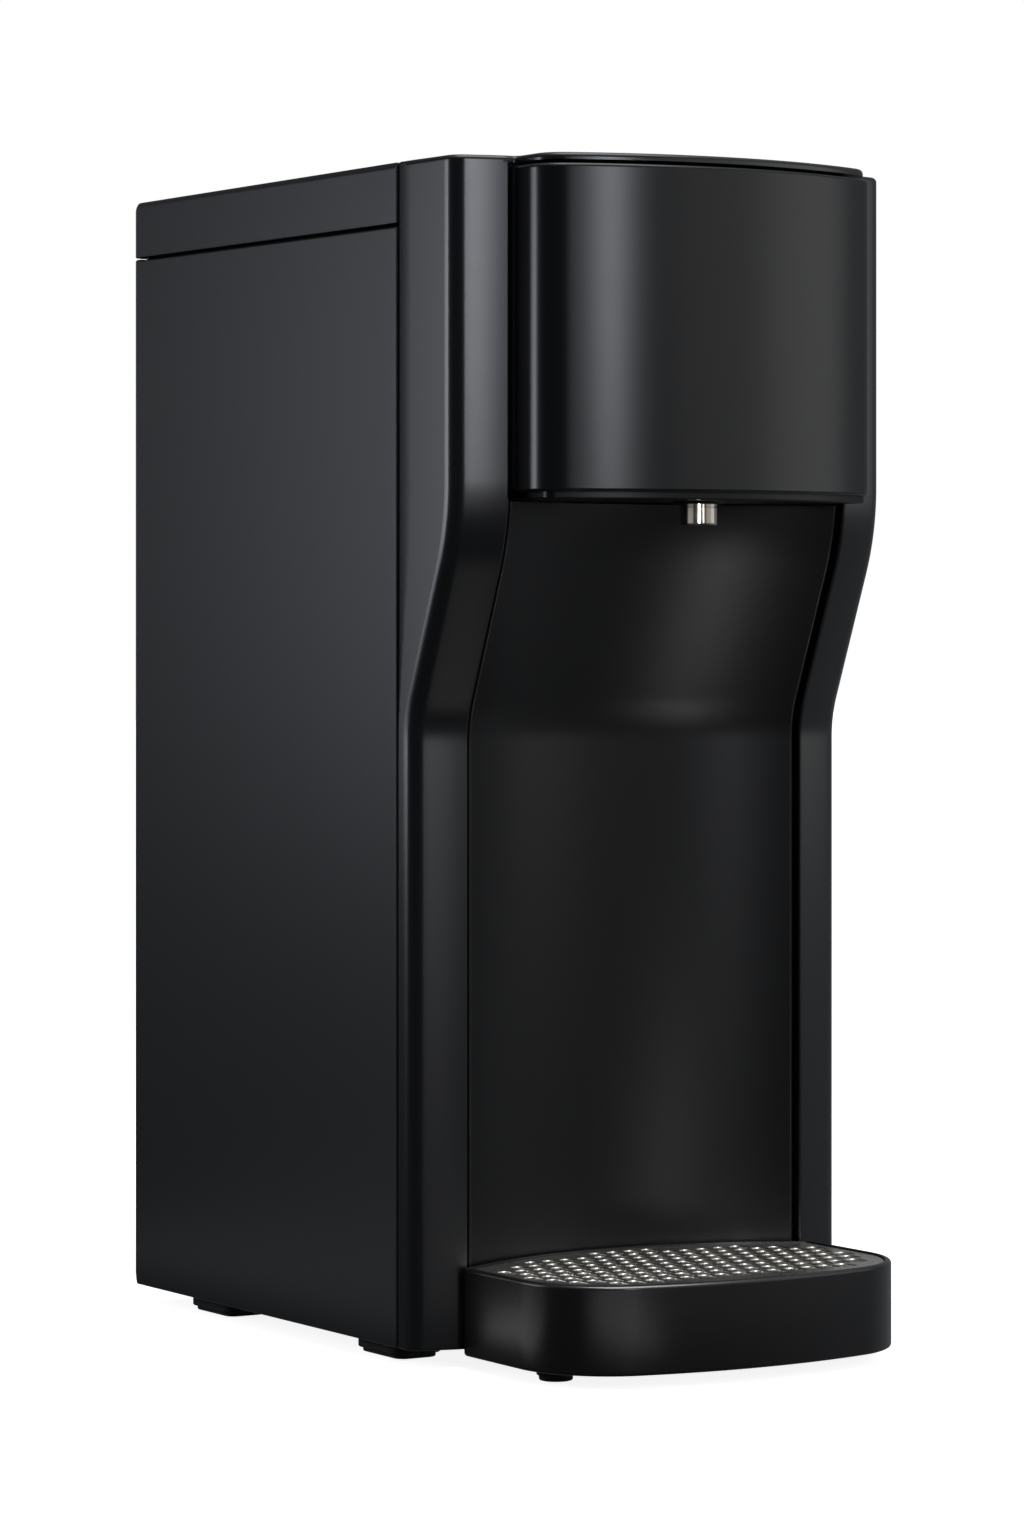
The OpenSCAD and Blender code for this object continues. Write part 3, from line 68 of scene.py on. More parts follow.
def quads(rows, cols):
    """Faces of a grid that closes on itself sideways: each joins a point to the next column and row."""
    r, c = np.mgrid[0:rows - 1, 0:cols]
    a, b = r * cols + c, r * cols + (c + 1) % cols
    return np.stack([a, b, b + cols, a + cols], axis=-1).reshape(-1, 4)


def skin(rings):
    """Closed skin over a stack of rings (rows, columns, xyz): the grid's faces and a flat cap at each end."""
    rows, cols = rings.shape[:2]
    caps = [np.arange(cols)[::-1], np.arange((rows - 1) * cols, rows * cols)]
    return rings.reshape(-1, 3), [quads(rows, cols)], caps


print("grid helpers ready")

# %% From a mesh to a piece
CRISP, BEVEL_CRISP = 31, 40


def dress(name, mesh, body, crisp=CRISP, bevel_mm=0.0):
    """The object of a finished mesh, riding on a body in the place of its CAD node. Edges that turn by more
    than crisp degrees stay crisp, and a bevel, where one is wanted, comes before normals are weighted."""
    mesh.shade_smooth()
    mesh.set_sharp_from_angle(angle=math.radians(crisp))
    piece = bpy.data.objects.new(name + "_skin", mesh)
    scene.collection.objects.link(piece)
    if bevel_mm:
        bevel = piece.modifiers.new("Broken edges", "BEVEL")
        bevel.width = bevel_mm * MM
        bevel.segments = 2
        bevel.angle_limit = math.radians(BEVEL_CRISP)
    piece.modifiers.new("Flat faces stay flat", "WEIGHTED_NORMAL").keep_sharp = True
    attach(piece, body)
    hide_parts(name)
    print(f"{name}: {len(mesh.vertices)} points, {len(mesh.polygons)} faces")


def make_piece(name, shells, finish, body="cabinet"):
    """One piece from shells, each of them points in mm, blocks of quads and single faces."""
    first = np.cumsum([0] + [len(s[0]) for s in shells])
    points = np.vstack([s[0] for s in shells]) * MM
    faces = [q for s, f in zip(shells, first) for band in s[1] for q in (band + f).tolist()]
    faces += [(cap + f).tolist() for s, f in zip(shells, first) for cap in s[2]]
    mesh = bpy.data.meshes.new(name)
    mesh.from_pydata(points.tolist(), [], faces)
    mesh.validate()
    mesh.materials.append(finish)
    dress(name, mesh, body)


# %% [markdown]
# An outline is a row of arcs joined by straight runs. Each point also keeps the direction that faces
# out of the shape, and how far it may move inwards before the arc closes up. With those two, any
# outline can be shrunk evenly, which is all that a rounded edge or a wall needs.

# %% Arcs and corners
ARC_TURN, CORNER_TURN = 7, 9
ROOMY, TINY = 1e3, 1e-4


def ways_out(angles):
    """Unit vectors (cos a, sin a) for angles in radians."""
    return np.stack([np.cos(angles), np.sin(angles)], axis=-1)


def arc(centre, radius, start, stop, step=2.0):
    """Convex arc: centre plus radius times (cos a, sin a) for a from start to stop degrees.
    Columns are x, y, the outward direction and the room for an inset."""
    turned = abs(stop - start)
    count = 2 + int(max(turned / ARC_TURN, math.radians(turned) * radius / step))
    out = ways_out(np.radians(np.linspace(start, stop, count)))
    return np.column_stack([np.array(centre) + radius * out, out, np.full(count, radius)])


def corner(before, here, after, radius):
    """One corner of an outline: an arc that touches the edges from before and to after. It turns the
    other way round a hollow corner, and a corner that doesn't turn stays a single point."""
    here = np.array(here, float)
    into, away = here - before, np.array(after, float) - here
    into, away = into / np.linalg.norm(into), away / np.linalg.norm(away)
    turn = math.atan2(into[0] * away[1] - into[1] * away[0], into @ away)
    face = np.array([into[1], -into[0]])
    if abs(turn) < TINY:
        return np.array([[*here, *face, ROOMY]])
    side = math.copysign(1, turn)
    centre = here - into * radius * math.tan(abs(turn) / 2) - side * radius * face
    count = 3 + int(abs(turn) / math.radians(CORNER_TURN))
    out = ways_out(math.atan2(face[1], face[0]) + np.linspace(0, turn, count))
    return np.column_stack([centre + side * radius * out, out, np.full(count, radius if turn > 0 else ROOMY)])


print("arcs ready")

# %% Whole outlines


def joined(*parts):
    """Parts of an outline in a row, without points that repeat the one before."""
    line = np.vstack(parts)
    return line[np.linalg.norm(line[:, :2] - np.roll(line[:, :2], 1, 0), axis=1) > TINY]


def bends(path):
    """Corners along a path of (x, y, radius), whose first and last points only give directions."""
    return [corner(a[:2], b[:2], c[:2], b[2]) for a, b, c in zip(path, path[1:], path[2:])]


def rounded(corners):
    """Closed outline through corners (x, y, radius), anticlockwise."""
    c = [(*p, 0.0)[:3] for p in corners]
    return np.vstack(bends(c[-1:] + c + c[:1]))


def mirrored(outline):
    """The outline on the other side of the middle plane, still anticlockwise."""
    return outline[::-1] * np.array([-1, 1, -1, 1, 1])


print("outlines ready")

# %% Rings, edges and blocks
INSET_SHARE = 0.96
turns = np.linspace(0, math.pi / 2, 8)


def ring(outline, inset, z):
    """One ring of a swept profile: the outline moved in by inset along its directions, at height z. An
    inset stops just short of the centre of an arc."""
    move = np.minimum(inset, INSET_SHARE * outline[:, 4])[:, None]
    return np.column_stack([outline[:, :2] - move * outline[:, 2:4], np.broadcast_to(z, len(outline))])


def swept(outline, profile):
    """Rings of a profile of (inset, height) pairs carried round an outline."""
    return np.stack([ring(outline, inset, z) for inset, z in profile])


def edge(radius, z, way, count=6):
    """Quarter circle for a rounded edge: inset r(1 - cos a), height z -+ r(1 - sin a).
    way is 1 where the profile climbs to a top edge and -1 where it leaves a bottom edge."""
    a = np.linspace(0, math.pi / 2, count)[::way]
    return [(radius * (1 - math.cos(t)), z - way * radius * (1 - math.sin(t))) for t in a]


def rolled(outline, radius, z, way):
    """Rings of such an edge where its radius and height may change on the way round."""
    return [ring(outline, radius * (1 - math.cos(a)), z - way * radius * (1 - math.sin(a)))
            for a in turns[::way]]


def rectangle(x0, x1, y0, y1, turn):
    """Rectangle with rounded corners, as an outline."""
    return rounded([(x0, y0, turn), (x1, y0, turn), (x1, y1, turn), (x0, y1, turn)])


def block(x0, x1, y0, y1, z0, z1, turn=0.6, lip=0.4):
    """A small solid with rounded upright corners and rounded top and bottom edges."""
    profile = edge(lip, z0, -1, 4) + edge(lip, z1, 1, 4)
    return skin(swept(rectangle(x0, x1, y0, y1, turn), profile))


print("rings ready")

# %% [markdown]
# ## Finishes
# The shell is moulded ABS: black pigment in the plastic, and a mould that was spark eroded, so the
# skin is a fine even grain that breaks reflections into soft bands. The metal is stainless steel and
# plated brass. Every finish is a small node tree on the piece's own Object coordinates, so it stays
# on the piece when it moves.

# %% Colour and node helpers


def linear(code):
    """sRGB hex to linear colour: each channel over 255, then ((c + 0.055) / 1.055) to the power 2.4."""
    c = np.array([int(code[i:i + 2], 16) for i in (1, 3, 5)]) / 255
    return (*np.where(c <= 0.04045, c / 12.92, ((c + 0.055) / 1.055) ** 2.4).tolist(), 1.0)


def add(tree, kind, inputs=None, **settings):
    """Adds one node: settings are its own properties, inputs its sockets as values or as outputs to link."""
    made = tree.nodes.new(kind)
    for key, value in settings.items():
        setattr(made, key, value)
    for key, value in (inputs or {}).items():
        if isinstance(value, bpy.types.NodeSocket):
            tree.links.new(value, made.inputs[key])
        else:
            made.inputs[key].default_value = value
    return made


def new_finish(name):
    """An empty node material and its Object coordinates."""
    material = bpy.data.materials.new(name)
    material.use_nodes = True
    material.node_tree.nodes.clear()
    return material, material.node_tree, add(material.node_tree, "ShaderNodeTexCoord").outputs["Object"]


def close_finish(tree, **shader):
    """The shader at the end of a finish, with its sockets named by their labels."""
    surface = add(tree, "ShaderNodeBsdfPrincipled", {k.replace("_", " "): v for k, v in shader.items()})
    add(tree, "ShaderNodeOutputMaterial", {"Surface": surface.outputs["BSDF"]})


print("node helpers ready")

# %% Moulded plastics
PATCH_MM = 7


def moulded(name, dark, light, roughness, spread, grain_mm, grain_depth, ior=1.53, cloud_mm=45.0):
    """Pigmented plastic from a grained mould. Slow clouds of pigment move the colour between dark and
    light, a middle noise moves the roughness by spread, and a fine noise of grain_mm is the bump."""
    material, tree, place = new_finish(name)
    cloud = add(tree, "ShaderNodeTexNoise", {"Vector": place, "Scale": 1 / (cloud_mm * MM), "Detail": 2.0})
    colour = add(tree, "ShaderNodeMix", {0: cloud.outputs["Fac"], 6: linear(dark), 7: linear(light)},
                 data_type="RGBA")
    patch = add(tree, "ShaderNodeTexNoise", {"Vector": place, "Scale": 1 / (PATCH_MM * MM), "Detail": 3.0})
    rough = add(tree, "ShaderNodeMapRange", {
        "Value": patch.outputs["Fac"], "From Min": 0.3, "From Max": 0.7, "To Min": roughness - spread,
        "To Max": roughness + spread})
    grain = add(tree, "ShaderNodeTexNoise", {"Vector": place, "Scale": 1 / (grain_mm * MM), "Detail": 1.5})
    bump = add(tree, "ShaderNodeBump", {
        "Height": grain.outputs["Fac"], "Strength": 0.5, "Distance": grain_depth * MM})
    close_finish(tree, Base_Color=colour.outputs[2], Roughness=rough.outputs["Result"], IOR=ior,
                 Normal=bump.outputs["Normal"])
    return material


# Spark-eroded ABS of the covers: a satin black that goes grey where it faces a light. The real grain
# is about 0.3 mm; 0.9 mm is as fine as still shows at this distance.
cabinet_abs = moulded("Moulded ABS, satin cabinet", "#141517", "#16171a", 0.35, 0.006, 0.9, 0.010)
frame_abs = moulded("Moulded ABS, satin front frame", "#131416", "#151619", 0.26, 0.005, 0.9, 0.009, 1.66)
head_abs = moulded("Moulded ABS, silky head cover", "#111214", "#131416", 0.26, 0.004, 0.9, 0.006)
# The splash panel sits in the bay under the head, so its black is made deeper and its reflection weaker (IOR
# 1.42) than the cabinet's: painted shade for the bay. Its mould is a little smoother.
bay_abs_painted_shade = moulded("Moulded ABS, dark splash panel", "#0c0c0d", "#0e0e0f", 0.34, 0.006, 0.8, 0.006, 1.42)
tray_abs = moulded("Moulded ABS, silky drip tray", "#0b0b0c", "#0d0d0e", 0.27, 0.005, 0.9, 0.007)
# Polypropylene is a little waxy, so its highlights are broad.
dark_pp = moulded("Moulded polypropylene, black", "#111214", "#16171a", 0.5, 0.05, 0.8, 0.01, 1.49, 12.0)
white_pp = moulded("Moulded polypropylene, natural white", "#d9d8d2", "#e6e5df", 0.45, 0.04, 0.8, 0.008,
                   1.49, 20.0)
# Rubber is rougher still, and carries dust in its pores. Silicone is a milky, soft tube.
foot_rubber = moulded("Moulded EPDM rubber", "#0b0b0b", "#171716", 0.72, 0.08, 0.6, 0.03, 1.52, 6.0)
silicone = moulded("Moulded silicone hose", "#c3c6c2", "#d4d6d2", 0.42, 0.06, 1.4, 0.01, 1.43, 14.0)
print("plastics:", [m.name for m in bpy.data.materials if m.name.startswith("Moulded")])

# %% [markdown]
# The reservoir is a see-through tank, so it lets some light through. Foam is a skin over thousands of
# bubbles: Voronoi cells at bubble size give it pits.

# %% Clear tank and foam
FLOW_MM, BUBBLE_MM, PIT_MM = 30, 2, 0.2


def clear_tank():
    """Tinted copolyester: mostly transmission, with a faint mould flow in the roughness."""
    material, tree, place = new_finish("Moulded copolyester, smoke tint")
    flow = add(tree, "ShaderNodeTexNoise", {"Vector": place, "Scale": 1 / (FLOW_MM * MM), "Detail": 2.0})
    rough = add(tree, "ShaderNodeMapRange", {"Value": flow.outputs["Fac"], "To Min": 0.08, "To Max": 0.22})
    close_finish(tree, Base_Color=linear("#b4c0c6"), Roughness=rough.outputs["Result"], IOR=1.57,
                 Transmission_Weight=0.75)
    return material


def foam():
    """Closed-cell foam: Voronoi cells are its bubbles, and their edges catch the light."""
    material, tree, place = new_finish("Expanded polystyrene insulation")
    cells = add(tree, "ShaderNodeTexVoronoi", {"Vector": place, "Scale": 1 / (BUBBLE_MM * MM)})
    depth = cells.outputs["Distance"]
    colour = add(tree, "ShaderNodeMix", {0: depth, 6: linear("#eceae2"), 7: linear("#d8d5ca")},
                 data_type="RGBA")
    bump = add(tree, "ShaderNodeBump", {"Height": depth, "Distance": PIT_MM * MM}, invert=True)
    close_finish(tree, Base_Color=colour.outputs[2], Roughness=0.85, Normal=bump.outputs["Normal"])
    return material


tank_clear, tank_foam = clear_tank(), foam()
print("made:", tank_clear.name, "and", tank_foam.name)

# %% [markdown]
# Metals differ by how they were worked. The grille was polished after punching, the nozzle is plated,
# and sheet parts keep the faint streaks of the rolling mill. A circuit board shows copper tracks under
# its green solder mask.

# %% Metals and board
STREAK_DEPTH, TRACK_MM = 0.004, 5


def metal(name, dark, light, roughness, spread, streak_mm, stretch):
    """A worked metal: noise drawn out along X by stretch gives the streaks of rolling or brushing, in
    colour, in roughness and, very shallow, in the surface."""
    material, tree, place = new_finish(name)
    drawn = add(tree, "ShaderNodeMapping", {"Vector": place, "Scale": (1 / stretch, 1.0, 1.0)})
    streaks = add(tree, "ShaderNodeTexNoise", {
        "Vector": drawn.outputs["Vector"], "Scale": 1 / (streak_mm * MM), "Detail": 3.0})
    streak = streaks.outputs["Fac"]
    colour = add(tree, "ShaderNodeMix", {0: streak, 6: linear(dark), 7: linear(light)}, data_type="RGBA")
    rough = add(tree, "ShaderNodeMapRange", {
        "Value": streak, "From Min": 0.3, "From Max": 0.7, "To Min": roughness - spread,
        "To Max": roughness + spread})
    bump = add(tree, "ShaderNodeBump", {"Height": streak, "Strength": 0.3, "Distance": STREAK_DEPTH * MM})
    close_finish(tree, Base_Color=colour.outputs[2], Metallic=1.0, Roughness=rough.outputs["Result"],
                 Normal=bump.outputs["Normal"])
    return material


def circuit_board():
    """Solder mask over copper: bricks half as long as the scale, whose paler joints are the tracks."""
    material, tree, place = new_finish("Glass epoxy board with green solder mask")
    tracks = add(tree, "ShaderNodeTexBrick", {
        "Vector": place, "Scale": 1 / (TRACK_MM * MM), "Color1": linear("#1c5a3a"),
        "Color2": linear("#184e33"), "Mortar": linear("#2b7a4e"), "Mortar Size": 0.06})
    close_finish(tree, Base_Color=tracks.outputs["Color"], Roughness=0.3, IOR=1.55)
    return material


polished_steel = metal("Polished stainless steel grille", "#c9c6c0", "#dcd9d3", 0.30, 0.04, 2.2, 1.0)
plated_brass = metal("Nickel-plated brass nozzle", "#b7aea2", "#c9c1b6", 0.17, 0.03, 1.5, 1.0)
rolled_steel = metal("Zinc-plated rolled steel", "#9a9da0", "#b4b7ba", 0.34, 0.06, 1.2, 14.0)
tank_steel = metal("Brushed stainless tank", "#b3b4b4", "#c8c9c9", 0.28, 0.05, 0.9, 18.0)
aluminium = metal("Extruded aluminium", "#b6b9bb", "#cdd0d2", 0.36, 0.05, 1.0, 20.0)
contact_brass = metal("Tinned brass contacts", "#b39a5e", "#cbb57a", 0.3, 0.05, 1.0, 6.0)
finish_of = {
    "cabinet_plastic": cabinet_abs, "frame_plastic": frame_abs, "bay_plastic": bay_abs_painted_shade,
    "head_plastic": head_abs, "tray_plastic": tray_abs, "rubber": foot_rubber, "silicone": silicone,
    "nozzle_metal": plated_brass, "grille_steel": polished_steel, "steel": rolled_steel,
    "stainless": tank_steel, "tank_plastic": tank_clear, "white_plastic": white_pp,
    "insulation": tank_foam, "aluminium": aluminium, "dark_plastic": dark_pp,
    "board": circuit_board(), "contacts": contact_brass}
for name, node in nodes.items():
    node.data.materials.clear()
    node.data.materials.append(finish_of[slot_of[name]])
print("finishes:", len(finish_of))

# %% [markdown]
# ## The camera
# The photograph was taken from the front and the cooler's left with a long lens, a little above the
# middle of its height. Upright edges stay parallel in it, so the camera looks level and the frame is
# moved down by a shift instead of by a tilt.

# %% Camera
PIXELS = 1536
FOCAL_PIXELS = 5000.0
HORIZON_ROW = 620.0
SENSOR_MM = 36.0
CAMERA_PLACE, CAMERA_TURN = (-1.1498, -1.8620, 0.3097), -31.42
camera_data = bpy.data.cameras.new("Camera")
camera_data.sensor_fit = "VERTICAL"
camera_data.sensor_height = SENSOR_MM
camera_data.lens = FOCAL_PIXELS / PIXELS * SENSOR_MM
camera_data.shift_y = (HORIZON_ROW - PIXELS / 2) / PIXELS
camera = bpy.data.objects.new("Camera", camera_data)
camera.location = CAMERA_PLACE
camera.rotation_euler = (math.radians(90), 0, math.radians(CAMERA_TURN))
scene.collection.objects.link(camera)
scene.camera = camera
print("lens mm:", round(camera_data.lens, 1))

# %% [markdown]
# ## Side panels
# Each side is one moulded plate that turns round the rear corner and ends in a lip for the rear
# panel. Its cut through the middle is a thin hook, so the hook is the outline, and it is carried up
# from the underside to the lid's seam. The lower rear corner is rounded by lifting the first rings.

# %% Side panel outline
HALF_W, REAR_Y, WALL = 107.5, 177.0, 2.5
SIDE_FRONT_Y, SIDE_BOTTOM, SIDE_TOP = -63.3, 7.0, 473.3
REAR_R, HINGE_Y, EDGE_R = 5.0, 172.0, 0.9
TURN_R = REAR_R - 0.3
HOOK_X, LEDGE_X, LEDGE_Y = 99.5, 91.5, (169.0, 171.5)
inner_x = HALF_W - WALL
hook = rounded([
    (HALF_W, SIDE_FRONT_Y, EDGE_R), (HALF_W, REAR_Y - REAR_R), (HALF_W, REAR_Y, TURN_R),
    (HOOK_X, REAR_Y, 0.6), (HOOK_X, REAR_Y - WALL, 0.6), (inner_x, REAR_Y - WALL, 2.3),
    (inner_x, LEDGE_Y[1], 0.3), (LEDGE_X, LEDGE_Y[1], 0.5), (LEDGE_X, LEDGE_Y[0], 0.5),
    (inner_x, LEDGE_Y[0], 0.5), (inner_x, SIDE_FRONT_Y, 0.6)])
print("hook outline:", len(hook), "points")

# %% Side panels
REAR_RISE = 1.1
# The lip behind the seam leans inwards, so that no soft box shines back out of the gap. It is drawn
# from the wall's inner face and the side's top.
LIP = rounded([(-5.4, -9.0, 0.3), (-0.2, -9.0, 0.3), (-0.2, -3.0, 0.3), (-3.8, 2.3, 0.3), (-5.4, 2.3, 0.3)])
LIP_Y = (SIDE_FRONT_Y + 3, HINGE_Y - 6.0)
STOP_IN, STOP_Y, STOP_Z = (13.0, 0.2), (HINGE_Y - 5.6, HINGE_Y - 4.2), (SIDE_TOP - 9, SIDE_TOP + 3)


def side_panel(name, plan):
    """The hook carried upwards. Behind the rear corner's start the underside follows a quarter circle and
    the top rises by a straight line, as far as the open lid leaves room. The lower edge rolls in more
    where it turns the rear corner. The lip closes the lid's seam, and the stop closes its rear end."""
    back = np.clip(plan[:, 1] - (REAR_Y - REAR_R), 0, REAR_R)
    lift = REAR_R - np.sqrt(REAR_R ** 2 - back ** 2)
    turning = np.abs(plan[:, 4] - TURN_R) < TINY
    facing_back = np.interp(plan[:, 3], (0, 0.3, 0.75, 1), (EDGE_R, 4.4, 4.4, 1.8))
    rings = rolled(plan, np.where(turning, facing_back, EDGE_R), SIDE_BOTTOM + lift, -1)
    rings += [ring(plan, i, z + REAR_RISE * back / REAR_R) for i, z in edge(EDGE_R, SIDE_TOP, 1)]
    hand = 1 if plan[0, 0] > 0 else -1
    bar = swept(LIP, [(0, y) for y in LIP_Y[::-hand]])
    lip = skin(np.stack([hand * (inner_x + bar[..., 0]), bar[..., 2], SIDE_TOP + bar[..., 1]], axis=-1))
    x0, x1 = sorted(hand * (inner_x - gap) for gap in STOP_IN)
    stop = block(x0, x1, *STOP_Y, *STOP_Z, 0.3, 0.3)
    make_piece(name, [skin(np.stack(rings)), lip, stop], cabinet_abs)


side_panel("right_side_panel", hook)
side_panel("left_side_panel", mirrored(hook))

# %% [markdown]
# ## Lid
# The lid is a shallow box without a bottom. Its skirt hangs lower at the sides than behind, where it
# has to clear the rear panel as it swings, and two notches leave room for the hinge eyes. The top
# edge rolls over with a larger radius behind than at the sides. All of that is one grid whose lower
# height and edge radius change on the way round.

# %% Lower edge of the lid
LID_BOTTOM, LID_TOP, LID_BACK_Z, CORNER_Z, CEILING_Z = 474.7, 500.0, 479.2, 474.5, 497.0
HINGE_Z, EYE_R, EYE_X, SWING_R = 478.7, 4.0, 73.0, 5.1
BACK_X, NOTCH, NOTCH_HALF, NOTCH_GAP = (99.0, 99.4), (69.3, 69.6, 76.4, 76.7), 3.5, 0.6


def lid_plan(inset, front_r, rear_r):
    """Rectangle of the lid with extra points where the skirt's lower edge changes."""
    x, y0, y1 = HALF_W - inset, SIDE_FRONT_Y + inset, REAR_Y - inset
    steps = [(s * n, y1) for s in (1, -1) for n in (NOTCH + BACK_X)[::-s]]
    return rounded([(-x, y0, front_r), (x, y0, front_r), (x, y1, rear_r), *steps, (-x, y1, rear_r)])


outer, inner = lid_plan(0, EDGE_R, TURN_R), lid_plan(WALL, 0.3, 2.2)
across, behind = np.abs(outer[:, 0]), np.clip(outer[:, 1] - HINGE_Y, 0, REAR_Y - HINGE_Y)
between_corners, on_back = across < BACK_X[1] - 0.1, outer[:, 1] > REAR_Y - 0.1
hang = np.maximum(LID_BOTTOM, HINGE_Z - np.sqrt(SWING_R ** 2 - behind ** 2))
hang = np.where(on_back & between_corners, LID_BACK_Z, hang)
in_notch = on_back & (np.abs(across - EYE_X) < NOTCH_HALF)
hang = np.where(in_notch, HINGE_Z + EYE_R + NOTCH_GAP, hang)
# At the rear corners the skirt's inner edge reaches lower, within the circle that the hinge allows, so
# that no light comes through the seam's end.
hang_in = np.where((outer[:, 1] > HINGE_Y) & ~between_corners, CORNER_Z, hang)
print("skirt edge mm:", hang.min().round(1), "to", hang.max().round(1))

# %% Lid and its hinge lugs
BREAK = 0.4
LUG_X, LUG_BACK_Y, LUG_NECK_Z = ((62.6, 69.6), (76.4, 83.4)), 175.2, 480.6
lid_roll = np.interp(outer[:, 3], (-1, 0, 0.45, 1), (EDGE_R, 2.8, 4.6, 5.0))
lid_rings = [ring(inner, 0, CEILING_Z), ring(inner, 0, hang_in + BREAK), ring(inner, -BREAK, hang_in)]
lid_rings += [ring(outer, inset, hang + up) for inset, up in ((0.5, 0), (0.15, 0.15), (0, 0.5))]
lid_rings += rolled(outer, lid_roll, LID_TOP, 1)


def hinge_lug(x0, x1):
    """A lug of the lid: a plate with a round foot about the hinge line, carried along X."""
    y0, y1, z0, z1 = HINGE_Y - EYE_R, HINGE_Y + EYE_R, HINGE_Z - EYE_R, CEILING_Z + BREAK
    side = rounded([(y0, z0, EYE_R - 0.3), (y1, z0, EYE_R - 0.3), (y1, HINGE_Z, 1.0),
                    (LUG_BACK_Y, LUG_NECK_Z, 0.3), (LUG_BACK_Y, z1, 0.3), (y0, z1, 0.3)])
    rings = swept(side, [(BREAK, x0), (0, x0 + BREAK), (0, x1 - BREAK), (BREAK, x1)])
    return skin(rings[..., [2, 0, 1]])


lugs = [hinge_lug(*sorted((s * a, s * b))) for s in (-1, 1) for a, b in LUG_X]
make_piece("lid", [skin(np.stack(lid_rings))] + lugs, cabinet_abs, "lid")

# %% [markdown]
# ## Front frame
# Two raked pillars and the hood over the head are one moulding. Looked at from above a pillar is a
# bent channel. It keeps that plan on the way up, but its front walks forward along an S made of two
# arcs and a straight run, so the pillar is the channel carried up with a shift that depends on height.

# %% The S of the front
LOW_Z, LOW_R, HIGH_Z, HIGH_R, RECESS = 268.0, 45.0, 347.5, 95.0, 33.3
SLOPE = math.atan(RECESS / (HIGH_Z - LOW_Z))
S_START = LOW_Z - LOW_R * math.tan(SLOPE / 2)
S_END = HIGH_Z + HIGH_R * math.tan(SLOPE / 2)
CLIMB_Z, LOW_ROWS, S_ROWS = 40, 6, 44


def shift(z):
    """How far the front has walked forward at height z: nothing, a first arc r - sqrt(r2 - h2), a
    straight run with the tangent of the slope, a second arc turned the other way, the whole recess."""
    low = np.clip(z - S_START, 0, LOW_R * math.sin(SLOPE))
    high = np.clip(S_END - z, 0, HIGH_R * math.sin(SLOPE))
    first = LOW_R - np.sqrt(LOW_R ** 2 - low ** 2)
    last = RECESS - HIGH_R + np.sqrt(HIGH_R ** 2 - high ** 2)
    middle = (z - LOW_Z) * math.tan(SLOPE)
    return np.select([z < S_START + LOW_R * math.sin(SLOPE), z < S_END - HIGH_R * math.sin(SLOPE)],
                     [first, middle], last)


heights = (*np.linspace(CLIMB_Z, S_START - 4, LOW_ROWS), *np.linspace(S_START, S_END - 5, S_ROWS))
climb = [(0, z) for z in heights]
print("S runs from", round(S_START, 1), "to", round(S_END, 1), "mm")

# %% Plan of a pillar
FRAME_BACK_Y, EDGE_Y, PILLAR_X = -64.7, -81.5, 83.5
PILLAR_R, INNER_R = 8.0, 1.0
RIB_X, RIB_Y, FACE_IN_Y = PILLAR_X + WALL, (-77.6, -63.5), -71.3
# The face is a wide arc between the outer and the inner corner; it touches both at these angles.
turn_0, turn_1 = math.radians(270 - 17.5), math.radians(270 - 12.7)
room = HALF_W - PILLAR_X - INNER_R + INNER_R * math.cos(turn_1) - PILLAR_R * (1 + math.cos(turn_0))
crown_r = room / (math.cos(turn_1) - math.cos(turn_0))
inner_c = np.array([-PILLAR_X - INNER_R, EDGE_Y + INNER_R])
crown_c = inner_c - (crown_r - INNER_R) * ways_out(turn_1)
corner_c = crown_c + (crown_r - PILLAR_R) * ways_out(turn_0)
cover = joined(corner((0, FRAME_BACK_Y), (-HALF_W, FRAME_BACK_Y), (-HALF_W, EDGE_Y), EDGE_R),
               arc(corner_c, PILLAR_R, 180, math.degrees(turn_0)),
               arc(crown_c, crown_r, math.degrees(turn_0), math.degrees(turn_1)))
inside_wall = bends([
    (-PILLAR_X, EDGE_Y), (-PILLAR_X, RIB_Y[1], 0.4), (-RIB_X, RIB_Y[1], 0.4), (-RIB_X, RIB_Y[0], 0.4),
    (-inner_x, FACE_IN_Y, 3.0), (-inner_x, FRAME_BACK_Y, 0.6), (-HALF_W, FRAME_BACK_Y)])
channel = joined(cover, arc(inner_c, INNER_R, math.degrees(turn_1), 360), *inside_wall)
print("pillar face radius mm:", round(crown_r, 1))

# %% Pillars
HOOD_Z, FLANK_X, SEAM_DEPTH = 497.0, 103.5, 2.9


def forward(plan):
    """Share of the shift that a point takes. The rear edge stays at the seam, and the front takes all."""
    on_flank = np.abs(plan[:, 0]) > FLANK_X
    return np.where(on_flank, np.clip((FRAME_BACK_Y - plan[:, 1]) / SEAM_DEPTH, 0, 1), 1.0)


def pillar(plan):
    """The channel carried up the S."""
    upper = [(0, z) for z in (S_END - 2, S_END + 1, S_END + 8, HOOD_Z)]
    rings = swept(plan, edge(EDGE_R, SIDE_BOTTOM, -1) + climb + upper)
    rings[..., 1] -= forward(plan) * shift(rings[..., 2])
    return skin(rings)


pillars = [pillar(channel), pillar(mirrored(channel))]
print("points of a pillar:", len(pillars[0][0]))

# %% Hood


def bowed(half_w, front_y, bow_r, corner_r):
    """Front of a bowed plan: a corner arc, the wide arc, a corner arc, each touching the next."""
    cx, by = half_w - corner_r, front_y + bow_r
    cy = by - math.sqrt((bow_r - corner_r) ** 2 - cx ** 2)
    tilt = math.degrees(math.atan2(cy - by, cx))
    return joined(arc((-cx, cy), corner_r, 180, 180 - tilt), arc((0, by), bow_r, -180 - tilt, tilt),
                  arc((cx, cy), corner_r, tilt, 0))


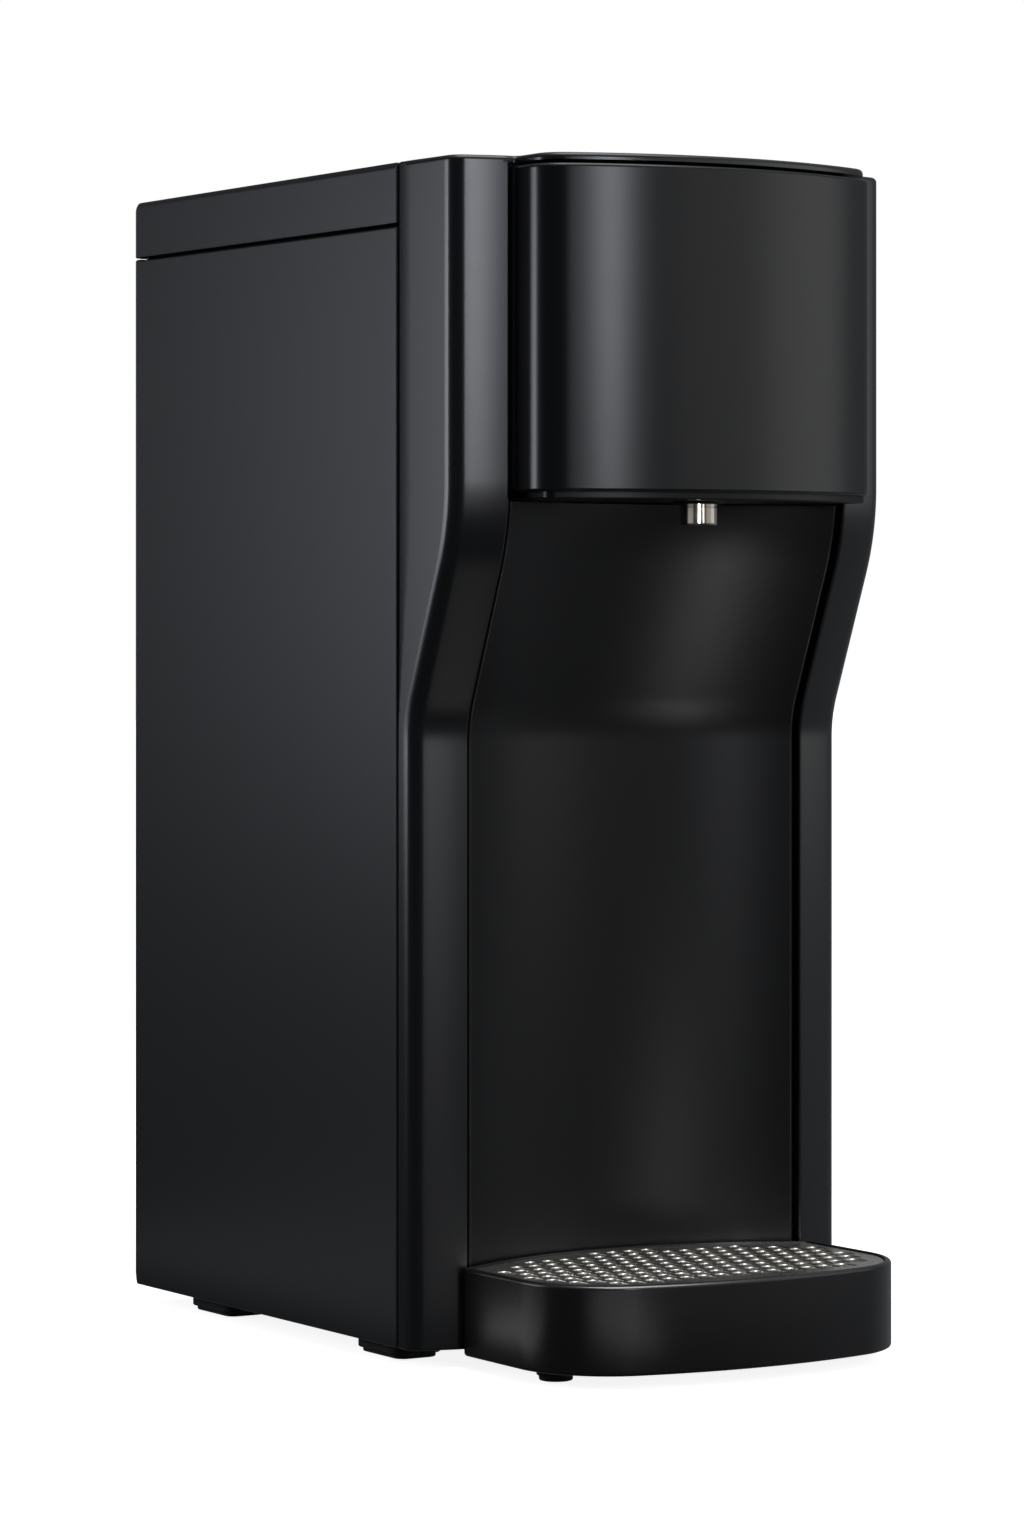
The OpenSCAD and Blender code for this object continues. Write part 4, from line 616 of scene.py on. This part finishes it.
HEAD_X, HEAD_FRONT_Y, HEAD_BOW, HEAD_R, HOOD_SET = 83.0, -158.8, 20.0, 16.0, 2.5
HEAD_BOW_R = (HEAD_X ** 2 + HEAD_BOW ** 2) / (2 * HEAD_BOW)
hood_left = cover - np.outer(forward(cover), (0, RECESS, 0, 0, 0))
step_left = (HOOD_SET - HEAD_X, hood_left[-1, 1])
hood_left = joined(hood_left, corner(hood_left[-1, :2], step_left, (step_left[0], HEAD_FRONT_Y), 1.5))
hood_front = bowed(HEAD_X - HOOD_SET, HEAD_FRONT_Y + HOOD_SET, HEAD_BOW_R - HOOD_SET, HEAD_R - HOOD_SET)
hood_plan = joined(hood_left, hood_front, mirrored(hood_left))
hood_roll = np.where(hood_plan[:, 3] > 0.5, EDGE_R, 2.1)
hood = skin(np.stack([ring(hood_plan, 0, HOOD_Z)] + rolled(hood_plan, hood_roll, LID_TOP, 1)))
print("points of the hood:", len(hood[0]))

# %% Sill and bulkhead, and the frame as one piece
PANEL_CY = -218.54
SILL_X, SILL_BACK_Y, SILL_NECK_Y, SILL_Z = 103.4, -50.3, -66.0, (7.6, 10.0)
SILL_EAR, SILL_TIP = (-105.7, -72.4), (-84.7, -79.4)
SILL_R, SILL_SPAN = 161.1, 31.0
BULKHEAD = (-84, 84, -108.8, -106.3, 362.5, 497.2)
sill_left = joined(corner((0, SILL_BACK_Y), (-SILL_X, SILL_BACK_Y), (-SILL_X, SILL_NECK_Y), 0.4),
                   corner((-SILL_X, SILL_NECK_Y), SILL_EAR, SILL_TIP, 0.4))
# The sill has no inset, so this hollow arc needs no directions.
sill_front = arc((0, PANEL_CY), SILL_R, 90 + SILL_SPAN, 90 - SILL_SPAN, 6.0)
sill_plan = joined(sill_left, sill_front, mirrored(sill_left))
sill = skin(swept(sill_plan, [(0, z) for z in SILL_Z]))
make_piece("front_frame", [*pillars, hood, sill, block(*BULKHEAD)], frame_abs)

# %% [markdown]
# ## Splash panel
# The panel is a shallow trough: part of a cylinder 161 mm in radius whose axis stands in front of it,
# carried up the same S as the pillars. Two openings near its foot are meant for the drip tray's
# tongues. They are cut in the grid itself: the quads that lie in an opening are left out, and its front
# and back edges are joined by short walls.

# %% Rings of the splash panel
PANEL_X, PANEL_Y, PANEL_R, PANEL_BACK_Y, PANEL_IN_Y = 82.1, -80.0, 161.04, -68.0, -75.7
PANEL_Z, PANEL_TOP, SLOT_Z, PANEL_EDGE = 10.3, 358.7, (12.0, 19.0), 0.4
SLOT_ANGLES, HALF_SPAN = (9.94, 15.93), 28.5
spans = np.radians(np.concatenate([np.linspace(0, SLOT_ANGLES[0], 7), np.linspace(*SLOT_ANGLES, 5)[1:],
                                   np.linspace(SLOT_ANGLES[1], HALF_SPAN, 9)[1:]]))
spans = np.concatenate([-spans[:0:-1], spans])
toward, free = np.column_stack([np.sin(spans), np.cos(spans)]), np.full(len(spans), ROOMY)
trough = np.column_stack([toward * PANEL_R + (0, PANEL_CY), -toward, free])
trough_back = np.column_stack([toward * (PANEL_R + WALL) + (0, PANEL_CY), toward, free])[::-1]
half_turn = math.asin(PANEL_X / PANEL_R)
panel_left = joined(*bends([
    (WALL - PANEL_X, PANEL_IN_Y), (WALL - PANEL_X, PANEL_BACK_Y, 0.5), (-PANEL_X, PANEL_BACK_Y, 0.5),
    (-PANEL_X, PANEL_Y, 1.2), (-PANEL_X + math.cos(half_turn), PANEL_Y + math.sin(half_turn))]))
panel_plan = joined(panel_left, trough, mirrored(panel_left), trough_back)
panel_rows = edge(PANEL_EDGE, PANEL_Z, -1, 3) + [(0, z) for z in SLOT_Z]
panel_rows += [(i, z) for i, z in climb if z < PANEL_TOP - 1] + edge(PANEL_EDGE, PANEL_TOP, 1, 3)
panel_rings = swept(panel_plan, panel_rows)
panel_rings[..., 1] -= shift(panel_rings[..., 2])
print("splash panel grid:", panel_rings.shape[:2])

# %% Openings of the splash panel
# Known fault: the row of faces between the two heights of SLOT_Z is row 3. Row 4 lies above it, so the
# openings sit higher than the tongues.
SLOT_ROW = 4
rows, cols = panel_rings.shape[:2]
grid = quads(rows, cols).reshape(rows - 1, cols, 4)
front_0, back_0 = len(panel_left), 2 * len(panel_left) + len(trough)
walls, keep = [], np.ones((rows - 1, cols), bool)
for low, high in ((-SLOT_ANGLES[1], -SLOT_ANGLES[0]), SLOT_ANGLES):
    inside = np.flatnonzero((spans > math.radians(low) - TINY) & (spans < math.radians(high) + TINY))
    front, back = front_0 + inside, back_0 + len(spans) - 1 - inside
    keep[SLOT_ROW, front[:-1]] = False
    keep[SLOT_ROW, back[1:]] = False
    near, far = SLOT_ROW * cols + front, SLOT_ROW * cols + back
    floor_wall = np.column_stack([near[:-1], near[1:], far[1:], far[:-1]])
    walls += [floor_wall, floor_wall[:, ::-1] + cols,
              np.array([[near[0], far[0], far[0] + cols, near[0] + cols],
                        [far[-1], near[-1], near[-1] + cols, far[-1] + cols]])]
shape, _, caps = skin(panel_rings)
make_piece("splash_panel", [(shape, [grid[keep], *walls], caps)], bay_abs_painted_shade)

# %% [markdown]
# ## Head cover
# The head is a bowed cover: a wide arc in front, two tighter arcs at its upright corners, and straight
# sides that go back between the pillars. One outline does it, with a small radius at the lower edge
# and a slightly larger one at the top, which catches the thin line of light under the hood.

# %% Head cover
HEAD_BACK_Y, HEAD_Z, HEAD_TOP, BACK_R = -109.1, 362.0, 495.5, 1.0
back_x, back_y = HEAD_X - BACK_R, HEAD_BACK_Y - BACK_R
head_plan = joined(bowed(HEAD_X, HEAD_FRONT_Y, HEAD_BOW_R, HEAD_R), arc((back_x, back_y), BACK_R, 0, 90),
                   arc((-back_x, back_y), BACK_R, 90, 180))
head_profile = [(WALL, HEAD_TOP - WALL), (WALL, HEAD_Z + 0.5), (WALL - 0.4, HEAD_Z)]
head_profile += edge(1.3, HEAD_Z, -1) + edge(1.8, HEAD_TOP, 1, 8)
make_piece("head_cover", [skin(swept(head_plan, head_profile))], head_abs)

# %% [markdown]
# ## Nozzle
# The nozzle is a plated brass sleeve with a fine groove turned into it, in a black collar. Turned
# parts are a profile carried round a circle. The profile here closes on itself, so the sleeve is a
# real tube and the outlet is open.

# %% Nozzle sleeve and collar
NOZZLE, SLEEVE_R, COLLAR_R = (0.0, -128.8), 8.0, 10.8
TIP_Z, GROOVE_Z, SLEEVE_TOP, SLEEVE_WALL, GROOVE = 349.0, 356.5, 361.5, 1.8, 0.28
COLLAR_Z, COLLAR_TOP, COLLAR_WALL = 357.8, 359.0, 2.75


def circle(centre, radius, count=64):
    """Closed circle as an outline."""
    out = ways_out(np.linspace(0, 2 * math.pi, count, endpoint=False))
    return np.column_stack([np.array(centre) + radius * out, out, np.full(count, radius)])


def tube(rings):
    """Skin of a ring whose profile closes on itself: the last row joins the first, with no caps."""
    rows, cols = rings.shape[:2]
    closed = quads(rows + 1, cols) % (rows * cols)
    return rings.reshape(-1, 3), [closed], []


sleeve = [(SLEEVE_WALL, SLEEVE_TOP), (SLEEVE_WALL, TIP_Z + 0.8), (SLEEVE_WALL - 0.3, TIP_Z + 0.3),
          (1.0, TIP_Z), (0.6, TIP_Z), (0.25, TIP_Z + 0.15), (0.05, TIP_Z + 0.45), (0.0, TIP_Z + 0.9),
          (0.0, GROOVE_Z - 0.3), (GROOVE, GROOVE_Z - 0.15), (GROOVE, GROOVE_Z + 0.15),
          (0.0, GROOVE_Z + 0.3), (0.0, SLEEVE_TOP)]
make_piece("nozzle_sleeve", [tube(swept(circle(NOZZLE, SLEEVE_R), sleeve))], plated_brass)
collar = [(COLLAR_WALL, COLLAR_TOP), (COLLAR_WALL, COLLAR_Z + 0.4), (COLLAR_WALL - 0.3, COLLAR_Z),
          (0.6, COLLAR_Z), (0.2, COLLAR_Z + 0.2), (0.0, COLLAR_Z + 0.6), (0.0, COLLAR_TOP)]
make_piece("nozzle_collar", [tube(swept(circle(NOZZLE, COLLAR_R), collar))], dark_pp)

# %% [markdown]
# ## Drip tray
# The tray's front is bowed like the head, and its back is part of a circle, so that it nests in the
# trough of the splash panel. One profile makes the whole basin: underside, outer wall, a rim that
# rolls over, the ledge for the grille, and the inner wall down to the floor. The two tongues behind
# reach into the splash panel.

# %% Drip tray
TRAY_X, TRAY_FRONT_Y, TRAY_Z, TRAY_TOP, TRAY_FLOOR = 88.0, -177.0, 5.0, 41.5, 8.0
TRAY_BOW_R, TRAY_FRONT_R, TRAY_BACK_R, TRAY_EAR_R, TRAY_EAR_Y = 240.0, 42.0, 159.4, 5.2, -84.2
RIM_W, SHELF_W, SHELF_Z = 2.6, 5.0, 38.6
TONGUE_X, TONGUE_HALF, TONGUE_Y, TONGUE_Z = 36, 7, (-66.0, -40.0), (13.0, 18.0)
ear = np.array([TRAY_X, TRAY_EAR_Y - PANEL_CY])
meet = math.degrees(math.atan2(ear[1], ear[0]) + math.acos(TRAY_BACK_R / np.linalg.norm(ear)))
meet_at = ways_out(math.radians(meet)) * TRAY_BACK_R + (0, PANEL_CY)
ear_right = corner((TRAY_X, TRAY_FRONT_Y), (TRAY_X, TRAY_EAR_Y), meet_at, TRAY_EAR_R)
tray_plan = joined(bowed(TRAY_X, TRAY_FRONT_Y, TRAY_BOW_R, TRAY_FRONT_R), ear_right,
                   arc((0, PANEL_CY), TRAY_BACK_R, meet, 180 - meet), mirrored(ear_right))
tray_profile = edge(1.4, TRAY_Z, -1) + edge(1.7, TRAY_TOP, 1, 8)
tray_profile += [(RIM_W - 0.4, TRAY_TOP), (RIM_W - 0.1, TRAY_TOP - 0.12), (RIM_W, TRAY_TOP - 0.45),
                 (RIM_W, SHELF_Z + 0.15), (RIM_W + 0.1, SHELF_Z), (SHELF_W - 0.3, SHELF_Z),
                 (SHELF_W - 0.05, SHELF_Z - 0.15), (SHELF_W, SHELF_Z - 0.5), (SHELF_W, TRAY_FLOOR + 0.8),
                 (SHELF_W + 0.15, TRAY_FLOOR)]
tongues = [block(x - TONGUE_HALF, x + TONGUE_HALF, *TONGUE_Y, *TONGUE_Z, 1.5, 0.6)
           for x in (-TONGUE_X, TONGUE_X)]
make_piece("drip_tray", [skin(swept(tray_plan, tray_profile))] + tongues, tray_abs, "tray")

# %% [markdown]
# ## Drip grille
# The grille is a punched plate, and the punch draws the edge of each hole down a little, which is why
# the webs between the holes shine. One cell holds one hole: rings run from the hole's wall over the
# drawn edge to a six-sided border. Cells laid side by side share their borders, so they are merged,
# and the plain rim round them is filled up to the plate's outline.

# %% One cell of the grille
GRILLE_Z, GRILLE_TOP, DRAW = 38.8, 40.8, 0.62
PITCH, ROW, HOLE_W, HOLE_L = 8.6, 10.4, 6.4, 10.4


def level_ring(points, z):
    """Points of the plan at one height."""
    return np.column_stack([points, np.full(len(points), z)])


half, flat_y = PITCH / 2, (ROW ** 2 - PITCH ** 2 / 4) / (2 * ROW)
tip_y = (ROW ** 2 + PITCH ** 2 / 4) / (2 * ROW)
six = np.array([(half, -flat_y), (half, flat_y), (0, tip_y), (-half, flat_y), (-half, -flat_y), (0, -tip_y)])
steps = [np.linspace(0, 1, n, endpoint=False)[:, None] for n in (6, 4, 4, 6, 4, 4)]
border = np.vstack([a + t * (b - a) for a, b, t in zip(six, np.roll(six, -1, 0), steps)])
ray = border / np.linalg.norm(border, axis=1)[:, None]
# A hole is a slot with round ends: a ray leaves it through a straight side or through an end.
straight = (HOLE_L - HOLE_W) / 2
side_reach = HOLE_W / 2 / np.maximum(np.abs(ray[:, 0]), 1e-6)
round_reach = straight * np.abs(ray[:, 1]) + np.sqrt(HOLE_W ** 2 / 4 - (straight * ray[:, 0]) ** 2)
reach = np.where(side_reach * np.abs(ray[:, 1]) <= straight, side_reach, round_reach)
hole = ray * reach[:, None]
drawn_edge = [level_ring(hole + ray * DRAW * (1 - math.cos(a)), GRILLE_TOP - DRAW * (1 - math.sin(a)))
              for a in np.linspace(0, math.pi / 2, 5)]
cell = np.stack([level_ring(border, GRILLE_Z), level_ring(hole, GRILLE_Z), *drawn_edge,
                 level_ring(border, GRILLE_TOP)])
print("grille cell:", cell.shape[0] * cell.shape[1], "points")

# %% Places of the holes
PLAIN_W, BACK_PLAIN = 5, 7
EAR_Y, EAR_X, SIDE_X = -91.5, 73.1, 78.4
j, i = np.mgrid[-14:15, -12:13]
spots = np.column_stack([((i + (np.abs(j) % 2) / 2) * PITCH).ravel(), (PANEL_Y - 2 + j * ROW).ravel()])
ax, y = np.abs(spots[:, 0]), spots[:, 1]
bow_cy, corner_cx = TRAY_FRONT_Y + TRAY_BOW_R, TRAY_X - TRAY_FRONT_R
corner_cy = bow_cy - math.sqrt((TRAY_BOW_R - TRAY_FRONT_R) ** 2 - corner_cx ** 2)
margin = RIM_W + PLAIN_W + HOLE_L / 2
# Far out the back circle has no height, so its half-width stops 20 mm short of the radius.
half_chord = np.minimum(ax + HOLE_W / 2, PANEL_R - 20)
clear = y + HOLE_L / 2 < PANEL_CY + np.sqrt((PANEL_R - BACK_PLAIN) ** 2 - half_chord ** 2)
clear &= ax < np.where(y > EAR_Y - HOLE_L / 2, EAR_X, SIDE_X)
in_corner = np.hypot(ax - corner_cx, y - corner_cy) < TRAY_FRONT_R - margin
clear &= (y > corner_cy) | (ax < corner_cx) | in_corner
clear &= np.hypot(ax, y - bow_cy) < TRAY_BOW_R - margin
spots = spots[clear]
print("grille holes:", len(spots))

# %% Lay the cells and fill the rim
flat_cell = cell.reshape(-1, 3)
cells = flat_cell[None] + np.column_stack([spots, np.zeros(len(spots))])[:, None]
cell_faces = quads(*cell.shape[:2])[:, ::-1][None] + (np.arange(len(spots)) * len(flat_cell))[:, None, None]
rim_rings = swept(tray_plan, [(3.35, GRILLE_Z), (3.05, GRILLE_Z + 0.3), (3.05, GRILLE_TOP - 0.5),
                              (3.2, GRILLE_TOP - 0.15), (3.55, GRILLE_TOP)])
rim_faces = quads(*rim_rings.shape[:2]) + cells.size // 3
mesh = bpy.data.meshes.new("drip_grille")
mesh.from_pydata((np.vstack([cells.reshape(-1, 3), rim_rings.reshape(-1, 3)]) * MM).tolist(), [],
                 np.vstack([cell_faces.reshape(-1, 4), rim_faces]).tolist())
work = bmesh.new()
work.from_mesh(mesh)
bmesh.ops.remove_doubles(work, verts=work.verts, dist=0.01 * MM)
open_edges = [e for e in work.edges if e.is_boundary]
for level in (GRILLE_Z, GRILLE_TOP):
    rim_edges = [e for e in open_edges if abs(e.verts[0].co.z - level * MM) < 1e-6]
    bmesh.ops.triangle_fill(work, edges=rim_edges, use_beauty=True)
bmesh.ops.recalc_face_normals(work, faces=work.faces)
work.to_mesh(mesh)
print("open grille edges:", sum(e.is_boundary for e in work.edges))
work.free()
mesh.materials.append(polished_steel)
dress("drip_grille", mesh, "grille", 40)

# %% [markdown]
# ## Feet
# Four rubber feet carry the cabinet and two round ones carry the tray. Each has a narrower sole, so
# its profile steps in near the floor.

# %% Feet
FOOT_X, FOOT_Y, FOOT_DX, FOOT_DY, FOOT_R = 89.5, (-35.0, 115.0), 12, 19, 7
TRAY_FOOT_X, TRAY_FOOT_Y, TRAY_FOOT_R = 72.0, -132.0, 8.0


def foot(plan, top, step):
    """A foot: the sole, a step out to the full outline, and the wall up to what it carries."""
    sole = [(step + i, z) for i, z in edge(0.8, 0.0, -1, 4)]
    return skin(swept(plan, sole + [(step, 1.8), (step - 0.3, 2.1), (0.4, 2.1), (0.0, 2.5), (0.0, top)]))


plans = [rectangle(x - FOOT_DX, x + FOOT_DX, y - FOOT_DY, y + FOOT_DY, FOOT_R)
         for x in (-FOOT_X, FOOT_X) for y in FOOT_Y]
make_piece("body_feet", [foot(plan, SIDE_BOTTOM, 2.0) for plan in plans], foot_rubber)
circles = [circle((x, TRAY_FOOT_Y), TRAY_FOOT_R, 40) for x in (-TRAY_FOOT_X, TRAY_FOOT_X)]
tray_feet = [foot(plan, TRAY_Z, 1.0) for plan in circles]
make_piece("tray_feet", tray_feet, foot_rubber, "tray")

# %% [markdown]
# ## Pieces that keep their CAD shape
# The rear panel, the base, the mains parts and the reservoir are already right in CAD, apart from
# their knife-sharp edges. A copy of the CAD mesh is welded, its flat triangles are joined to whole
# faces, and a Bevel modifier breaks the edges as a mould does. What stays hidden keeps the CAD mesh.

# %% Break the edges of CAD shapes
WELD_MM, FLAT_DEGREES, CAD_CRISP = 0.002, 0.4, 38


def softened(name, width, body="cabinet"):
    """A welded copy of a CAD node with its sharp edges bevelled by width mm."""
    mesh = nodes[name].data.copy()
    mesh.name = name
    work = bmesh.new()
    work.from_mesh(mesh)
    bmesh.ops.remove_doubles(work, verts=work.verts, dist=WELD_MM * MM)
    bmesh.ops.dissolve_limit(work, angle_limit=math.radians(FLAT_DEGREES), verts=work.verts, edges=work.edges)
    work.to_mesh(mesh)
    work.free()
    dress(name, mesh, body, CAD_CRISP, width)


for name, width in (("rear_panel", 0.4), ("base_pan", 0.5), ("nozzle_plate", 0.6), ("reservoir", 0.5),
                    ("mains_inlet", 0.4), ("switch_frame", 0.35), ("drain_fitting", 0.35),
                    ("rear_screws", 0.3)):
    softened(name, width)
softened("switch_rocker", 0.3, "rocker")
softened("drain_plug", 0.35, "plug")

# %% [markdown]
# ## Studio
# The photograph shows the cooler on plain white, lit by soft boxes. Black satin shows hardly any colour
# of its own: what the eye reads is the reflections of the lights. So the world is a dim room that is
# palest on the right and overhead, and the floor and backdrop show only to the camera, so that they
# don't grey the black plastic.

# %% Floor
FLOOR_HALF, FLOOR_Z = 12.0, -0.0006
floor_corners = [(x * FLOOR_HALF, y * FLOOR_HALF, FLOOR_Z) for x, y in ((-1, -1), (1, -1), (1, 1), (-1, 1))]
floor_mesh = bpy.data.meshes.new("floor")
floor_mesh.from_pydata(floor_corners, [], [(0, 1, 2, 3)])
floor = bpy.data.objects.new("floor", floor_mesh)
scene.collection.objects.link(floor)
pale, tree, place = new_finish("Pale studio floor")
away = add(tree, "ShaderNodeVectorMath", {0: place}, operation="LENGTH")
glow = add(tree, "ShaderNodeMapRange", {
    "Value": away.outputs["Value"], "From Min": 0.15, "From Max": 0.9, "To Min": 0.88, "To Max": 1.0})
close_finish(tree, Base_Color=linear("#f2f2f2"), Roughness=1.0, Specular_IOR_Level=0.0,
             Emission_Color=linear("#ffffff"), Emission_Strength=glow.outputs["Result"])
floor_mesh.materials.append(pale)
floor.visible_glossy = False
floor.visible_diffuse = False
print("floor:", 2 * FLOOR_HALF, "m wide")

# %% Room and backdrop
RIGHT, UP = (0.94, 0.34, 0.0), (0.0, 0.0, 1.0)
world = bpy.data.worlds.new("Studio")
scene.world = world
world.use_nodes = True
sky = world.node_tree
sky.nodes.clear()
ways = add(sky, "ShaderNodeTexCoord").outputs["Generated"]
to_right = add(sky, "ShaderNodeVectorMath", {0: ways, 1: RIGHT}, operation="DOT_PRODUCT")
walls_level = add(sky, "ShaderNodeMapRange", {
    "Value": to_right.outputs["Value"], "From Min": 0.0, "From Max": 0.9, "To Min": 0.05, "To Max": 0.24})
upward = add(sky, "ShaderNodeVectorMath", {0: ways, 1: UP}, operation="DOT_PRODUCT")
sky_level = add(sky, "ShaderNodeMapRange", {
    "Value": upward.outputs["Value"], "From Min": 0.55, "From Max": 0.9, "To Min": 0.0, "To Max": 0.5})
total = add(sky, "ShaderNodeMath", {0: walls_level.outputs["Result"], 1: sky_level.outputs["Result"]})
room_light = add(sky, "ShaderNodeBackground", {
    "Color": linear("#e8ecf2"), "Strength": total.outputs["Value"]})
backdrop = add(sky, "ShaderNodeBackground", {"Color": (1, 1, 1, 1), "Strength": 1.0})
seen = add(sky, "ShaderNodeLightPath").outputs["Is Camera Ray"]
mixed = add(sky, "ShaderNodeMixShader", {0: seen, 1: room_light.outputs[0], 2: backdrop.outputs[0]})
add(sky, "ShaderNodeOutputWorld", {"Surface": mixed.outputs[0]})
scene.view_settings.view_transform = "Standard"
print("world nodes:", len(sky.nodes))

# %% [markdown]
# A narrow strip in front, with a weak one below it, draws the bright stripe on the pillar and the head.
# Two boxes on the right fill the rest of the head, two on the left light the side, and one hangs above.

# %% Soft boxes


def soft_box(name, place, aim, wide, high, watts, colour="#ffffff"):
    """A rectangular light at a place, turned to face its aim, wide by high metres."""
    data = bpy.data.lights.new(name, "AREA")
    data.shape = "RECTANGLE"
    data.size, data.size_y = wide, high
    data.energy = watts
    data.color = linear(colour)[:3]
    lamp = bpy.data.objects.new(name, data)
    lamp.location = place
    lamp.visible_camera = False
    way = np.array(aim) - np.array(place)
    tilt, heading = math.acos(-way[2] / np.linalg.norm(way)), math.atan2(way[1], way[0])
    lamp.rotation_euler = (tilt, 0, heading - math.pi / 2)
    scene.collection.objects.link(lamp)
    return lamp


soft_box("front_strip", (-0.17, -1.79, 0.70), (0, 0, 0.35), 0.20, 0.6, 3.6, "#f2f6ff")
soft_box("front_low", (-0.17, -1.79, 0.22), (0, 0, 0.20), 0.18, 0.4, 0.28)
soft_box("front_right", (0.75, -1.65, 0.80), (0, 0, 0.35), 0.9, 1.2, 1.6)
soft_box("right_box", (1.50, -1.10, 0.80), (0, 0, 0.30), 1.0, 1.3, 3.3)
soft_box("left_rear_box", (-0.97, 0.774, 0.45), (-0.107, -0.06, 0.40), 0.51, 0.5, 1.85, "#f0f4ff")
soft_box("left_strip", (-1.19, 0.49, 0.45), (-0.107, -0.06, 0.40), 0.2, 0.5, 1.8, "#f0f4ff")
soft_box("top_box", (0.0, -0.30, 2.00), (0, 0, 0.30), 1.2, 1.2, 12.0)
print("soft boxes:", len(bpy.data.lights))

# %% [markdown]
# A photographer adds small cards and keeps each from the other surfaces with flags. Light linking does
# that here: a light with a receiver collection reaches only the pieces in it.

# %% Cards and boxes for single pieces
CARD_Z = 0.004


def only(lamp, *names):
    """Lets a light reach the named pieces and no others, as flags do in a studio."""
    group = bpy.data.collections.new(lamp.name + " reach")
    for name in names:
        group.objects.link(bpy.data.objects[name + "_skin"])
    lamp.light_linking.receiver_collection = group


def floor_card(name, x, y, wide, deep, watts, *names):
    """A pale card on the table that shines up at the named pieces, leaning a hair to have a heading."""
    only(soft_box(name, (x, y, CARD_Z), (x, y - 0.0001, 1.0), wide, deep, watts), *names)


floor_card("side_card", -0.50, 0.00, 0.7, 0.7, 0.24, "left_side_panel")
floor_card("pillar_card", -0.06, -0.36, 0.12, 0.30, 0.03, "front_frame")
floor_card("panel_card", 0.13, -0.62, 0.08, 0.50, 0.55, "splash_panel")
floor_card("tray_side_card", -0.19, -0.045, 0.12, 0.12, 0.042, "drip_tray")
floor_card("tray_left_card", -0.13, -0.33, 0.20, 0.16, 0.12, "drip_tray")
floor_card("tray_card", 0.25, -0.45, 0.50, 0.30, 0.08, "drip_tray")
only(soft_box("rim_box", (0.0, -0.60, 1.50), (0, -0.13, 0.04), 1.2, 1.2, 40.0), "drip_tray")
only(soft_box("grille_box", (-0.3, -1.3, 1.3), (0, -0.13, 0.1), 0.9, 0.7, 20.0), "drip_grille")
only(soft_box("nozzle_strip", (-0.417, -0.811, 0.37), (0, -0.129, 0.355), 0.08, 0.3, 2.3), "nozzle_sleeve")
only(soft_box("nozzle_card", (-0.797, -0.199, 0.37), (0, -0.129, 0.355), 0.5, 0.3, 0.21), "nozzle_sleeve")
print("with cards:", len(bpy.data.lights))

# %% Fills for the unseen sides
panels = ("left_side_panel", "right_side_panel", "lid", "rear_panel")
rear_parts = ("base_pan", "mains_inlet", "switch_frame", "switch_rocker", "drain_fitting", "drain_plug",
              "rear_screws")
only(soft_box("left_fill", (-1.40, -1.40, 0.70), (0, 0, 0.25), 1.0, 1.0, 2.5), *panels)
only(soft_box("right_fill", (2.20, 1.30, 0.70), (0, 0, 0.25), 1.2, 1.0, 3.0), *panels)
floor_card("right_card", 1.25, 0.20, 2.0, 3.4, 7.0, "right_side_panel", "rear_panel")
only(soft_box("back_fill", (0.30, 2.40, 0.70), (0, 0, 0.25), 1.6, 1.0, 3.0), *panels, *rear_parts)
floor_card("rear_card", 0.0, 1.35, 3.0, 2.0, 6.0, "rear_panel", *rear_parts)
print("lights:", len(bpy.data.lights))
